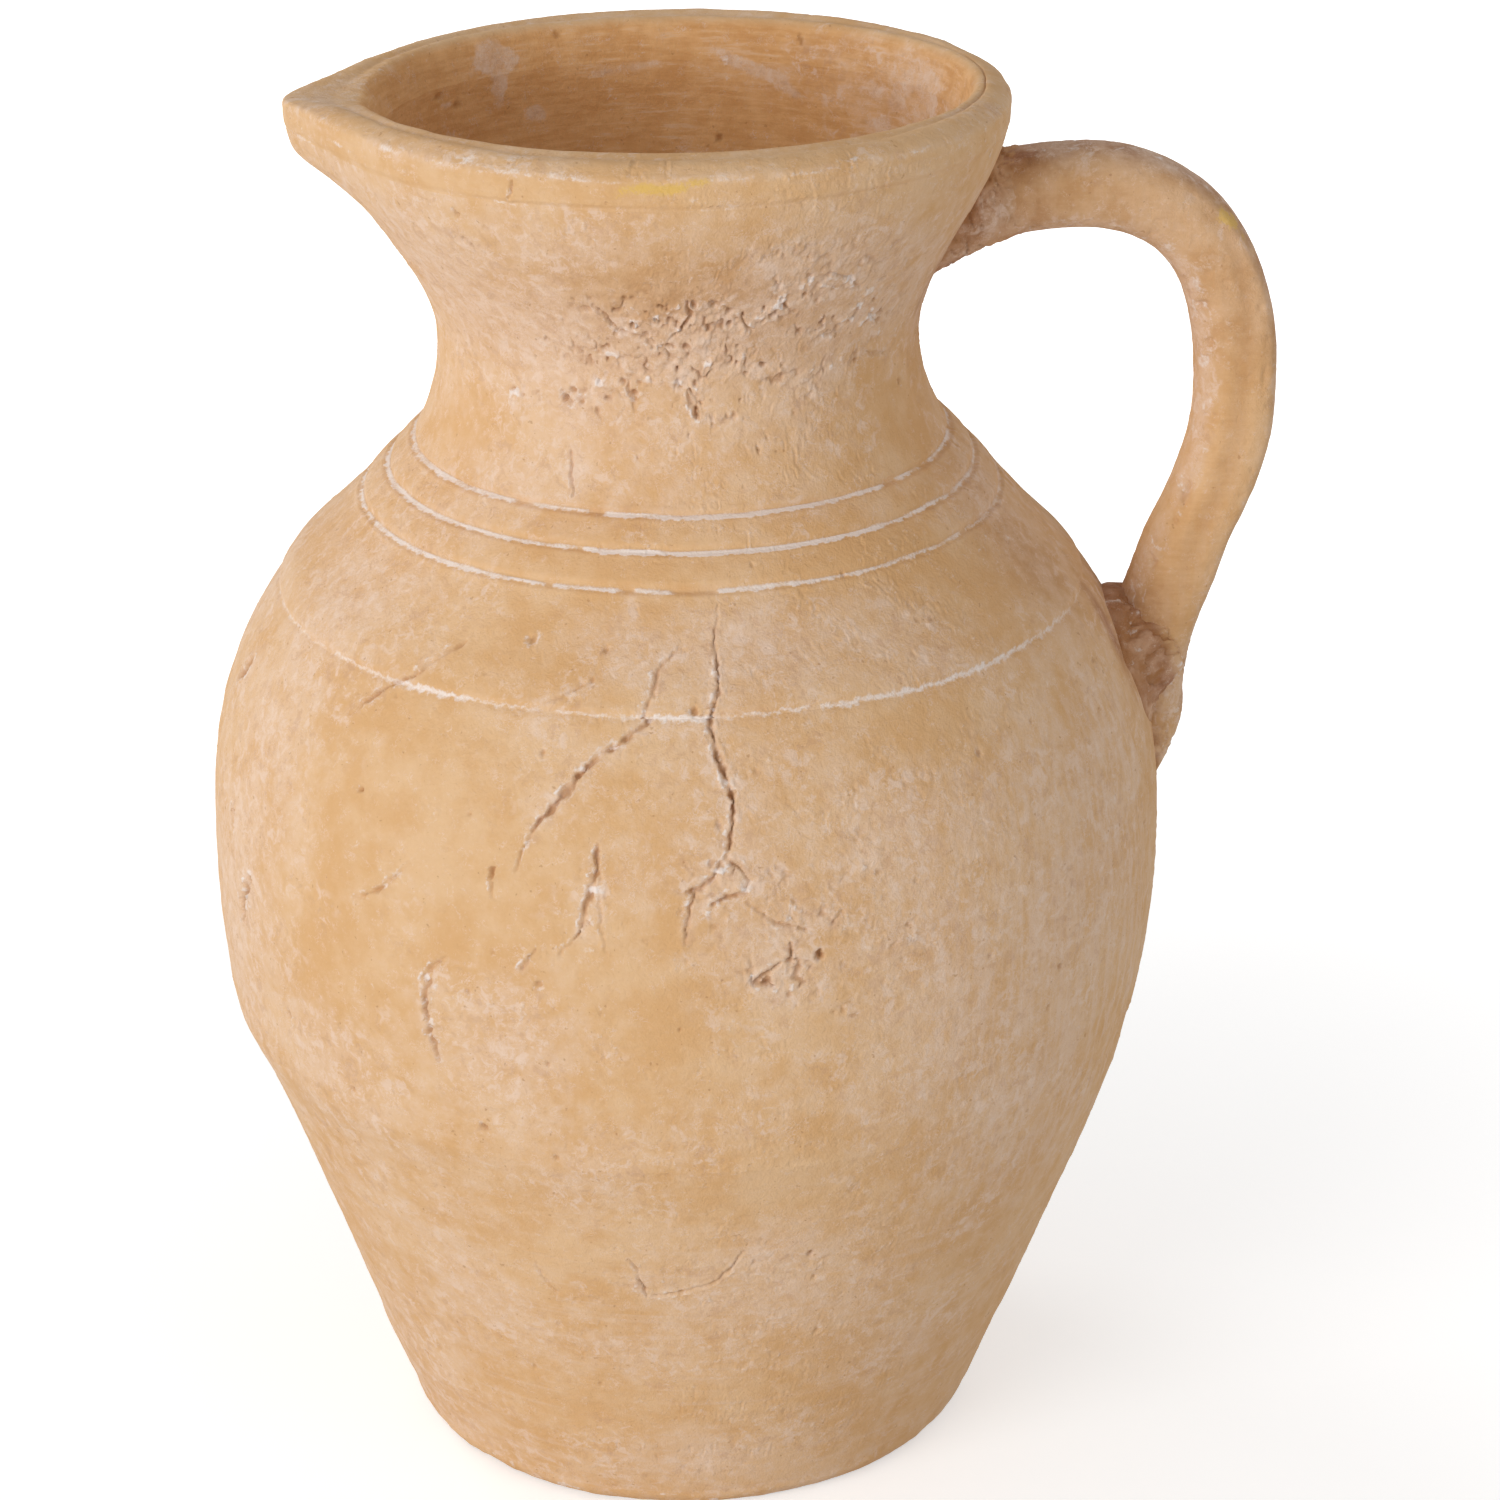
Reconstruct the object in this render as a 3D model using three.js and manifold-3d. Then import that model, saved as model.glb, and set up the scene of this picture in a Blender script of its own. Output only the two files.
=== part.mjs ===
// A hand-built terracotta jug: a full-bellied pot with a trumpet neck, a pulled pouring spout and a loop handle.
// Sizes are in millimetres and +Z is up. The origin is the centre of the flat foot, on the turning axis.
// The spout points along -X and the handle along +X.

import * as THREE from 'three';
import { mergeVertices } from 'three/addons/utils/BufferGeometryUtils.js';
import Module from 'manifold-3d';

const wasm = await Module();
wasm.setup();

// Heights of the clay sections, which stand on each other from the floor up
const flankHeight = 102;
const bellyHeight = 92.5;
const shoulderHeight = 31.5;
const neckHeight = 65.2;
const lipHeight = 8.8;

// Outside radii of the pot
const footRadius = 63.9;
const turnRadius = 99.2;
const bellyRadius = 102.25;
const shoulderLineRadius = 85.5;
const shoulderRoundRadius = 80.3;
const neckFootRadius = 56.2;
const waistRadius = 50.1;
const lipRadius = 68.75;

// Places along the sections, each measured from the seam below it
const widestRise = 35;
const shoulderRoundRise = 6.9;
const waistRise = 22;

// How far the wall leans out (or in, when negative) for each millimetre that it rises
const footLean = 0.4;
const turnLeanBelow = 0.36;
const turnLeanAbove = 0.2;
const shoulderLineLeanBelow = -0.75;
const shoulderLineLeanAbove = -0.33;
const shoulderLean = -1.1;
const neckFootLean = -0.57;
const lipFootLean = 0.2;

// Clay thickness
const wallThickness = 8;
const floorThickness = 9;
const footEdgeRadius = 4.5;

// The incised rings: one on each seam of the shoulder, two cut between them, with a raised band between rings
const ringWidth = 1.6;
const ringDepth = 0.9;
const bandHeight = 6.2;
const bandCrown = 0.45;
const ringCount = 3;

// The lip: a thick rim round an oval mouth, level on top, bevelled outwards, and set a little towards the spout
const lipOffset = 1.2;
const mouthLong = 60.9;
const mouthShort = 55.8;
const mouthRounding = 1.6;
const lipTopWidth = 3.3;
const lipBevelDrop = 2.6;
const lipFaceSwell = 0.7;

// The pulled spout: a pointed fold of the lip with an upright face, which fades out down the neck
const spoutReach = 9.9;
const spoutHalfAngle = THREE.MathUtils.degToRad(11);
const spoutSpread = THREE.MathUtils.degToRad(50);
const spoutDepth = 18.7;
const spoutFaceDrop = 2.7;
const spoutFade = 1.4;
const channelDepth = 2;

// The handle: a rounded strap that springs from the neck, arches over and runs down onto the belly
const handleThickness = 17.7;
const handleWidth = 19.5;
const handleSquareness = 2.5;
const fingerRoom = 57.3;
const crownReach = 32.4;
const crownDrop = 14.2;
const rootDrop = 20.2;
const gripDrop = 55;
const archRoundness = 0.64;
const gripEase = 0.42;
const landingEase = 0.34;
const tailRise = 64.5;
const tailLength = 21;
const tailTipThickness = 0.7;
const tailTipWidth = 6;

// The soft clay pressed round each end of the handle to hold it
const collarLength = 16;
const collarSpread = 7;
const collarEdge = 0.8;
const padHalfWidth = 20.5;
const padHalfHeight = 16;
const padHeight = 8;
const padDrop = 15.5;

// Clearance between pieces that are cut to each other's curved face
const seatGap = 0.3;

// How finely round forms are divided: rows are taller where the wall is nearly straight
const roundSteps = 60;
const bodyRow = 14;
const shoulderRow = 7;
const neckRow = 5;
const fewestRows = 2;
const footSteps = 4;
const strapRings = 42;
const collarRings = 9;
const sectionSteps = 16;
const padSteps = 28;

// Heights of the seams
const turnSeam = flankHeight;
const shoulderSeam = turnSeam + bellyHeight;
const neckSeam = shoulderSeam + shoulderHeight;
const lipSeam = neckSeam + neckHeight;
const crestHeight = lipSeam + lipHeight;

const terracotta = 0xd9a872;
const pressedClay = 0xb9815a;
const fired = (color) => new THREE.MeshStandardMaterial({ color, roughness: 0.92, metalness: 0 });

// A point of the wall's outer profile: x is the radius, y the height, and the leans are the wall's slope there
function station(radius, height, leanBelow, leanAbove = leanBelow) {
  return { point: new THREE.Vector2(radius, height), leanBelow, leanAbove };
}

const collarLean = (neckFootRadius - shoulderRoundRadius) / (shoulderHeight - shoulderRoundRise);

const wallStations = [
  station(footRadius, footEdgeRadius, footLean),
  station(turnRadius, turnSeam, turnLeanBelow, turnLeanAbove),
  station(bellyRadius, turnSeam + widestRise, 0),
  station(shoulderLineRadius, shoulderSeam, shoulderLineLeanBelow, shoulderLineLeanAbove),
  station(shoulderRoundRadius, shoulderSeam + shoulderRoundRise, shoulderLean),
  station(neckFootRadius, neckSeam, collarLean, neckFootLean),
  station(waistRadius, neckSeam + waistRise, 0),
  station(lipRadius, lipSeam, lipFootLean),
];

// The stretch of wall that holds a height, as its curve and the share of the way up it
function wallAt(height) {
  const last = wallStations.length - 2;
  let index = 0;
  while (index < last && wallStations[index + 1].point.y <= height) {
    index += 1;
  }
  const below = wallStations[index];
  const above = wallStations[index + 1];
  const rise = above.point.y - below.point.y;
  const curve = new THREE.CubicBezierCurve(
    below.point,
    new THREE.Vector2(below.point.x + below.leanAbove * rise / 3, below.point.y + rise / 3),
    new THREE.Vector2(above.point.x - above.leanBelow * rise / 3, above.point.y - rise / 3),
    above.point,
  );
  return { curve, share: THREE.MathUtils.clamp((height - below.point.y) / rise, 0, 1) };
}

function wallRadius(height) {
  const { curve, share } = wallAt(height);
  return curve.getPoint(share).x;
}

// The wall's slope at a height, averaged over a seam where the slope changes
function wallLean(height) {
  const justOff = 0.01;
  const leans = [-justOff, justOff].map((step) => {
    const { curve, share } = wallAt(height + step);
    const tangent = curve.getTangent(share);
    return tangent.x / tangent.y;
  });
  return (leans[0] + leans[1]) / 2;
}

// The raised bands between the incised rings at the neck's foot
const lowestRing = neckSeam - (ringCount - 1) * bandHeight;
const ringHeights = Array.from({ length: ringCount }, (_, ring) => lowestRing + ring * bandHeight);

function outerRadius(height) {
  if (height <= lowestRing || height >= neckSeam) {
    return wallRadius(height);
  }
  const acrossBand = ((height - lowestRing) / bandHeight) % 1;
  return wallRadius(height) + 4 * bandCrown * acrossBand * (1 - acrossBand);
}

// A wall of even thickness is wider, measured level, where it leans
const innerRadius = (height) => wallRadius(height) - wallThickness * Math.hypot(1, wallLean(height));

// Heights from one to another in even rows, with the wall's stations and any other stops among them
function heightsBetween(low, high, row, otherStops = []) {
  const stops = [...wallStations.map((each) => each.point.y), ...otherStops]
    .filter((y) => y > low && y < high)
    .sort((a, b) => a - b);
  const ends = [low, ...stops, high];
  const heights = [];
  for (let i = 0; i < ends.length - 1; i += 1) {
    const rows = Math.max(fewestRows, Math.round((ends[i + 1] - ends[i]) / row));
    for (let step = 0; step < rows; step += 1) {
      heights.push(THREE.MathUtils.lerp(ends[i], ends[i + 1], step / rows));
    }
  }
  heights.push(high);
  return heights;
}

// How strongly the spout shows at a turn about the axis, from 1 on its fold to 0 past its spread
function spoutFold(turn) {
  const away = Math.abs(THREE.MathUtils.euclideanModulo(turn, 2 * Math.PI) - Math.PI);
  if (away > spoutSpread) {
    return 0;
  }
  const peak = (angle) => 1 / (1 + (angle / spoutHalfAngle) ** 2);
  const edge = peak(spoutSpread);
  return (peak(away) - edge) / (1 - edge);
}

// How much of the spout is left at a height: all of it on its upright face, none below its depth
function spoutShare(height) {
  return THREE.MathUtils.smoothstep(height, lipSeam - spoutDepth, lipSeam - spoutFaceDrop) ** spoutFade;
}

// The rim sits a little off the axis, and the offset fades out down the neck with the flare
const rimShift = (turn) => -lipOffset * Math.cos(turn);
const flareShare = (height) => THREE.MathUtils.smoothstep(height, neckSeam + waistRise, lipSeam);

function neckOuter(turn, height) {
  const offset = flareShare(height) * rimShift(turn);
  return wallRadius(height) + offset + spoutShare(height) * spoutReach * spoutFold(turn);
}

// The mouth is an oval that is longest from spout to handle
function mouthRadius(turn) {
  const oval = mouthLong * mouthShort / Math.hypot(mouthShort * Math.cos(turn), mouthLong * Math.sin(turn));
  return oval + rimShift(turn);
}

// The neck's bore opens from the round waist to the oval mouth
function neckInner(turn, height) {
  return THREE.MathUtils.lerp(innerRadius(height), mouthRadius(turn) - mouthRounding, flareShare(height));
}

// A wall that goes once round the axis, from an outline that may change as it goes
function turnedWall(outlineAt) {
  const positions = [];
  const triangles = [];
  let count = 0;
  for (let step = 0; step < roundSteps; step += 1) {
    const turn = 2 * Math.PI * step / roundSteps;
    const outline = outlineAt(turn);
    count = outline.length;
    for (const point of outline) {
      positions.push(point.x * Math.cos(turn), point.x * Math.sin(turn), point.y);
    }
  }
  for (let step = 0; step < roundSteps; step += 1) {
    const here = step * count;
    const next = ((step + 1) % roundSteps) * count;
    for (let i = 0; i < count; i += 1) {
      const j = (i + 1) % count;
      triangles.push(here + i, next + i, next + j);
      triangles.push(here + i, next + j, here + j);
    }
  }
  const geometry = new THREE.BufferGeometry();
  geometry.setAttribute('position', new THREE.Float32BufferAttribute(positions, 3));
  geometry.setIndex(triangles);
  geometry.computeVertexNormals();
  return geometry;
}

// A solid turned from one outline, which starts and ends on the axis or closes on itself
function turnedSolid(outline) {
  const geometry = new THREE.LatheGeometry(outline, roundSteps);
  geometry.rotateX(Math.PI / 2);
  return geometry;
}

// The outer face of a section from its lower to its upper seam, with the rings cut into it
function outerFace(low, high, row, ringsAt = []) {
  const half = ringWidth / 2;
  const points = heightsBetween(low, high, row, ringsAt)
    .filter((y) => ringsAt.every((ring) => Math.abs(y - ring) > half))
    .map((y) => new THREE.Vector2(outerRadius(y), y));
  for (const ring of ringsAt) {
    points.push(new THREE.Vector2(outerRadius(ring) - ringDepth, ring));
    for (const edge of [ring - half, ring + half]) {
      if (edge > low && edge < high) {
        points.push(new THREE.Vector2(outerRadius(edge), edge));
      }
    }
  }
  return points.sort((a, b) => a.y - b.y);
}

// The inner face of a section, from its upper seam down to its lower one
function innerFace(low, high, row) {
  return heightsBetween(low, high, row).map((y) => new THREE.Vector2(innerRadius(y), y)).reverse();
}

// The floor slab, which the first coil of the flank stands round
const slabRadius = footRadius - wallThickness;

function baseDisc() {
  return turnedSolid([
    new THREE.Vector2(0, 0),
    new THREE.Vector2(slabRadius, 0),
    new THREE.Vector2(slabRadius, floorThickness),
    new THREE.Vector2(0, floorThickness),
  ]);
}

// The rounded bottom edge of the pot, as a quarter round from the flat foot up to the flank
function footEdge() {
  const centre = new THREE.Vector2(footRadius - footEdgeRadius, footEdgeRadius);
  const points = [];
  for (let step = 0; step < footSteps; step += 1) {
    const angle = (Math.PI / 2) * (step / footSteps - 1);
    points.push(new THREE.Vector2(
      centre.x + footEdgeRadius * Math.cos(angle),
      centre.y + footEdgeRadius * Math.sin(angle),
    ));
  }
  return points;
}

function lowerWall() {
  const inner = slabRadius + seatGap;
  return turnedSolid([
    new THREE.Vector2(inner, 0),
    ...footEdge(),
    ...outerFace(footEdgeRadius, turnSeam, bodyRow),
    ...innerFace(floorThickness, turnSeam, bodyRow),
    new THREE.Vector2(inner, floorThickness),
    new THREE.Vector2(inner, 0),
  ]);
}

function plainSection(low, high, row, ringsAt) {
  const outline = [...outerFace(low, high, row, ringsAt), ...innerFace(low, high, row)];
  outline.push(outline[0]);
  return turnedSolid(outline);
}

function neckSection() {
  const spoutStops = [lipSeam - spoutDepth, lipSeam - spoutFaceDrop];
  const outer = heightsBetween(neckSeam, lipSeam, neckRow, spoutStops).slice(1);
  const inner = heightsBetween(neckSeam, lipSeam, neckRow).reverse();
  const ringEdge = neckSeam + ringWidth / 2;
  return turnedWall((turn) => [
    new THREE.Vector2(neckOuter(turn, neckSeam) - ringDepth, neckSeam),
    new THREE.Vector2(neckOuter(turn, ringEdge), ringEdge),
    ...outer.map((y) => new THREE.Vector2(neckOuter(turn, y), y)),
    ...inner.map((y) => new THREE.Vector2(neckInner(turn, y), y)),
  ]);
}

// The rim: an upright outer face that swells a little, a bevel, a level top, and a rounded edge round the mouth
function lipSection() {
  return turnedWall((turn) => {
    const foot = neckOuter(turn, lipSeam);
    const face = foot + lipFaceSwell;
    const mouth = mouthRadius(turn);
    const top = crestHeight - channelDepth * spoutFold(turn);
    const bevelHead = Math.max(mouth + 2 * mouthRounding, face - lipTopWidth);
    return [
      new THREE.Vector2(foot, lipSeam),
      new THREE.Vector2(face, lipSeam + lipHeight / 3),
      new THREE.Vector2(face, crestHeight - lipBevelDrop),
      new THREE.Vector2(bevelHead, top),
      new THREE.Vector2(mouth + mouthRounding, top),
      new THREE.Vector2(mouth, top - mouthRounding),
      new THREE.Vector2(neckInner(turn, lipSeam), lipSeam),
    ];
  });
}

// The run of the handle's middle line, from inside the neck's wall to the tip of its tail on the belly
const root = new THREE.Vector3(waistRadius - wallThickness / 2, 0, lipSeam - rootDrop);
const crown = new THREE.Vector3(waistRadius + crownReach, 0, lipSeam - crownDrop);
const grip = new THREE.Vector3(waistRadius + fingerRoom + handleThickness / 2, 0, lipSeam - gripDrop);
const tailHead = turnSeam + tailRise;
const landing = new THREE.Vector3(wallRadius(tailHead), 0, tailHead);
const tip = new THREE.Vector3(wallRadius(tailHead - tailLength), 0, tailHead - tailLength);

function handlePath() {
  const level = (point, run) => new THREE.Vector3(point.x + run, 0, point.z);
  const upright = (point, rise) => new THREE.Vector3(point.x, 0, point.z + rise);
  const rootRun = (crown.x - root.x) / 3;
  const fall = grip.z - landing.z;
  const path = new THREE.CurvePath();
  path.add(new THREE.CubicBezierCurve3(
    root,
    new THREE.Vector3(root.x + rootRun, 0, (root.z + crown.z) / 2),
    level(crown, -rootRun),
    crown,
  ));
  path.add(new THREE.CubicBezierCurve3(
    crown,
    level(crown, archRoundness * (grip.x - crown.x)),
    upright(grip, archRoundness * (crown.z - grip.z)),
    grip,
  ));
  path.add(new THREE.CubicBezierCurve3(
    grip,
    upright(grip, -gripEase * fall),
    upright(landing, landingEase * fall),
    landing,
  ));
  path.add(new THREE.LineCurve3(landing, tip));
  return path;
}

// A solid swept along a path in the XZ plane, with a rounded-square section whose size may change on the way
function sweptSolid(path, share, rings, sizeAt) {
  const positions = [];
  const triangles = [];
  const across = new THREE.Vector3(0, 1, 0);
  for (let ring = 0; ring <= rings; ring += 1) {
    const along = share * ring / rings;
    const centre = path.getPointAt(along);
    const outward = new THREE.Vector3().crossVectors(across, path.getTangentAt(along)).normalize();
    const size = sizeAt(along);
    for (let side = 0; side < sectionSteps; side += 1) {
      const angle = 2 * Math.PI * (side + 0.5) / sectionSteps;
      const corner = (value) => Math.sign(value) * Math.abs(value) ** (2 / handleSquareness);
      const point = centre.clone()
        .addScaledVector(outward, corner(Math.cos(angle)) * size.thickness / 2)
        .addScaledVector(across, corner(Math.sin(angle)) * size.width / 2);
      positions.push(point.x, point.y, point.z);
    }
  }
  const start = path.getPointAt(0);
  const end = path.getPointAt(share);
  positions.push(start.x, start.y, start.z, end.x, end.y, end.z);
  const startCentre = (rings + 1) * sectionSteps;
  const last = rings * sectionSteps;
  for (let side = 0; side < sectionSteps; side += 1) {
    const next = (side + 1) % sectionSteps;
    for (let ring = 0; ring < rings; ring += 1) {
      const here = ring * sectionSteps;
      const there = here + sectionSteps;
      triangles.push(here + side, there + next, there + side);
      triangles.push(here + side, here + next, there + next);
    }
    triangles.push(startCentre, next, side);
    triangles.push(startCentre + 1, last + side, last + next);
  }
  const geometry = new THREE.BufferGeometry();
  geometry.setAttribute('position', new THREE.Float32BufferAttribute(positions, 3));
  geometry.setIndex(triangles);
  return geometry;
}

function toManifold(geometry) {
  const bare = geometry.clone();
  bare.deleteAttribute('normal');
  bare.deleteAttribute('uv');
  const merged = mergeVertices(bare, 1e-4);
  return new wasm.Manifold(new wasm.Mesh({
    numProp: 3,
    vertProperties: new Float32Array(merged.attributes.position.array),
    triVerts: new Uint32Array(merged.index.array),
  }));
}

function toGeometry(solid) {
  const mesh = solid.getMesh();
  const geometry = new THREE.BufferGeometry();
  geometry.setAttribute('position', new THREE.BufferAttribute(new Float32Array(mesh.vertProperties), 3));
  geometry.setIndex(new THREE.BufferAttribute(new Uint32Array(mesh.triVerts), 1));
  geometry.computeVertexNormals();
  return geometry;
}

// The pot's outer form grown by the clearance, which cuts the seat in whatever is pressed against the wall
function seatCutter() {
  const grown = (y) => new THREE.Vector2(outerRadius(y) + seatGap * Math.hypot(1, wallLean(y)), y);
  const rimRadius = lipRadius + lipFaceSwell + seatGap;
  return toManifold(turnedSolid([
    new THREE.Vector2(0, footEdgeRadius),
    ...heightsBetween(footEdgeRadius, neckSeam, shoulderRow).map(grown),
    ...heightsBetween(neckSeam, lipSeam - seatGap, neckRow).slice(1).map(grown),
    new THREE.Vector2(rimRadius, lipSeam - seatGap),
    new THREE.Vector2(rimRadius, crestHeight),
    new THREE.Vector2(0, crestHeight),
  ]));
}

const path = handlePath();
const pathLength = path.getLength();

// The strap keeps its size to the belly, where it is smeared out into a thin tail
function strapSize(along, clearance = 0) {
  const tailShare = tailLength / pathLength;
  const intoTail = THREE.MathUtils.clamp((along - 1 + tailShare) / tailShare, 0, 1);
  const left = Math.max(Math.cos(Math.PI / 2 * intoTail), 0);
  return {
    thickness: Math.max(handleThickness * left, tailTipThickness) + 2 * clearance,
    width: Math.max(handleWidth * Math.sqrt(left), tailTipWidth) + 2 * clearance,
  };
}

const seat = seatCutter();
const strap = toManifold(sweptSolid(path, 1, strapRings, (along) => strapSize(along)));
const strapRoom = toManifold(sweptSolid(path, 1, strapRings, (along) => strapSize(along, seatGap)));

// The collar of clay round the handle's root, thickest against the neck and thinned out along the strap
function neckCollar() {
  const buried = wallRadius(root.z) - root.x;
  const share = (buried + collarLength) / pathLength;
  const swelling = toManifold(sweptSolid(path, share, collarRings, (along) => {
    const left = 1 - along / share;
    return strapSize(along, collarEdge + collarSpread * left * left);
  }));
  return toGeometry(swelling.subtract(strapRoom).subtract(seat));
}

// The flat pad of clay under and beside the handle where it meets the belly, leaning with the wall
function bellyPad() {
  const height = shoulderSeam - padDrop;
  const mound = new THREE.SphereGeometry(1, padSteps, padSteps / 2);
  mound.scale(padHeight, padHalfWidth, padHalfHeight);
  mound.rotateY(Math.atan(wallLean(height)));
  mound.translate(wallRadius(height), 0, height);
  return toGeometry(toManifold(mound).subtract(strapRoom).subtract(seat));
}

const jug = new THREE.Group();

function addPiece(name, geometry, color) {
  const piece = new THREE.Mesh(geometry, fired(color));
  piece.name = name;
  jug.add(piece);
}

addPiece('base_disc', baseDisc(), terracotta);
addPiece('lower_wall', lowerWall(), terracotta);
addPiece('belly_wall', plainSection(turnSeam, shoulderSeam, bodyRow, [shoulderSeam]), terracotta);
addPiece('shoulder', plainSection(shoulderSeam, neckSeam, shoulderRow, [shoulderSeam, ...ringHeights]), terracotta);
addPiece('neck', neckSection(), terracotta);
addPiece('rim_lip', lipSection(), terracotta);
addPiece('handle', toGeometry(strap.subtract(seat)), terracotta);
addPiece('upper_luting', neckCollar(), pressedClay);
addPiece('lower_luting', bellyPad(), pressedClay);

export default jug;
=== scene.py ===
import math

import bpy
import numpy as np
from mathutils import Matrix, Vector


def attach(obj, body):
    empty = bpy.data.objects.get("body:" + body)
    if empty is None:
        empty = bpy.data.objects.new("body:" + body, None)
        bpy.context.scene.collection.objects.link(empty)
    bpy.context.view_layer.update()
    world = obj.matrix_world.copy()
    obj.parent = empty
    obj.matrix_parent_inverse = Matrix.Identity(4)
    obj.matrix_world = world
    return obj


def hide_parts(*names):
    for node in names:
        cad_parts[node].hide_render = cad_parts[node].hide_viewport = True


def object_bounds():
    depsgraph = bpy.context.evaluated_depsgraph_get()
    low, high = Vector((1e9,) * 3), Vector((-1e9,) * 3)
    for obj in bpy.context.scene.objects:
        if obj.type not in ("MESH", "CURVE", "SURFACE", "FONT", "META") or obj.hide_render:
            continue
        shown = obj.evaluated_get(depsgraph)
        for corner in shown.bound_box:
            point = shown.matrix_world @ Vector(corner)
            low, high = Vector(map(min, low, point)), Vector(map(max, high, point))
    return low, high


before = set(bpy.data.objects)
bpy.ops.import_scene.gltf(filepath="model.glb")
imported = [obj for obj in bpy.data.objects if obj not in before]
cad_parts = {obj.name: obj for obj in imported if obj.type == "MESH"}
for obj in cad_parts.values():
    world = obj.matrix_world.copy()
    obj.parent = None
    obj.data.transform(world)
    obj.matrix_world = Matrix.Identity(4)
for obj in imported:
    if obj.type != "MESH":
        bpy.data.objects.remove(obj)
cad_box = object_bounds()

# Lengths are in millimetres until a mesh is made. The main sizes are those of the CAD source.
TURN_SEAM, SHOULDER_SEAM, NECK_SEAM, LIP_SEAM, CREST = 102.0, 194.5, 226.0, 291.2, 300.0
WALL, FLOOR, FOOT_RADIUS, FOOT_EDGE = 8.0, 9.0, 63.9, 4.5
WAIST = 248.0
SPOUT_REACH, SPOUT_HALF_ANGLE, SPOUT_SPREAD = 9.9, math.radians(11), math.radians(50)
SPOUT_DEPTH, SPOUT_FACE_DROP, SPOUT_FADE, CHANNEL_DEPTH = 18.7, 2.7, 1.4, 2.0
MOUTH_LONG, MOUTH_SHORT, MOUTH_ROUNDING = 60.9, 55.8, 1.6
LIP_OFFSET, LIP_TOP_WIDTH, LIP_BEVEL_DROP, LIP_SWELL = 1.2, 3.3, 2.6, 0.7

# Radius, height and slope (below and above) of each station of the wall
STATIONS = (
    (FOOT_RADIUS, FOOT_EDGE, 0.4, 0.4),
    (99.2, TURN_SEAM, 0.36, 0.2),
    (102.25, 137.0, 0.0, 0.0),
    (85.5, SHOULDER_SEAM, -0.75, -0.33),
    (80.3, 201.4, -1.1, -1.1),
    (56.2, NECK_SEAM, -24.1 / 24.6, -0.57),
    (50.1, WAIST, 0.0, 0.0),
    (68.75, LIP_SEAM, 0.2, 0.2),
)

# How far the turned wall strays sideways at each height, as hand-thrown clay does
STRAY_HEIGHTS = (0, 4, 8, 16, 24, 28, 32, 40, 52, 64, 72, 80, 88, 92, 96, 100, 104, 108, 112, 120, 132, 144,
                 192, 200, 204, 212, 224, 236, 248, 262, 300)
STRAY = (-1.1, -.7, -.5, -.6, -.4, 0, .2, .4, .5, .7, .8, .75, .6, .3, -.3, -.72, -.76, -.7, -.5, -.33, -.2, -.1,
         -.4, -1.0, -1.0, -.3, .2, -.2, -.35, -.2, 0)

# Where the surface is divided finely: (azimuth in degrees or height, spacing in mm)
TURN_SPACING = ((-180, .9), (-172, .6), (-148, .46), (-114, .42), (-108, .33), (-80, .33), (-72, .42), (-34, .46),
                (-26, 1.0), (0, 1.2), (180, 1.2))
ROW_SPACING = ((0, .8), (56, .7), (63, .45), (88, .45), (94, .7), (104, .45), (136, .4), (148, .34), (205, .34),
               (211, .26), (229, .26), (233, .4), (275, .4), (280, .55), (300, .55))
INNER_SPACING = ((0, 3), (200, 2.4), (240, 1.6), (256, .7), (300, .6))

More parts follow.
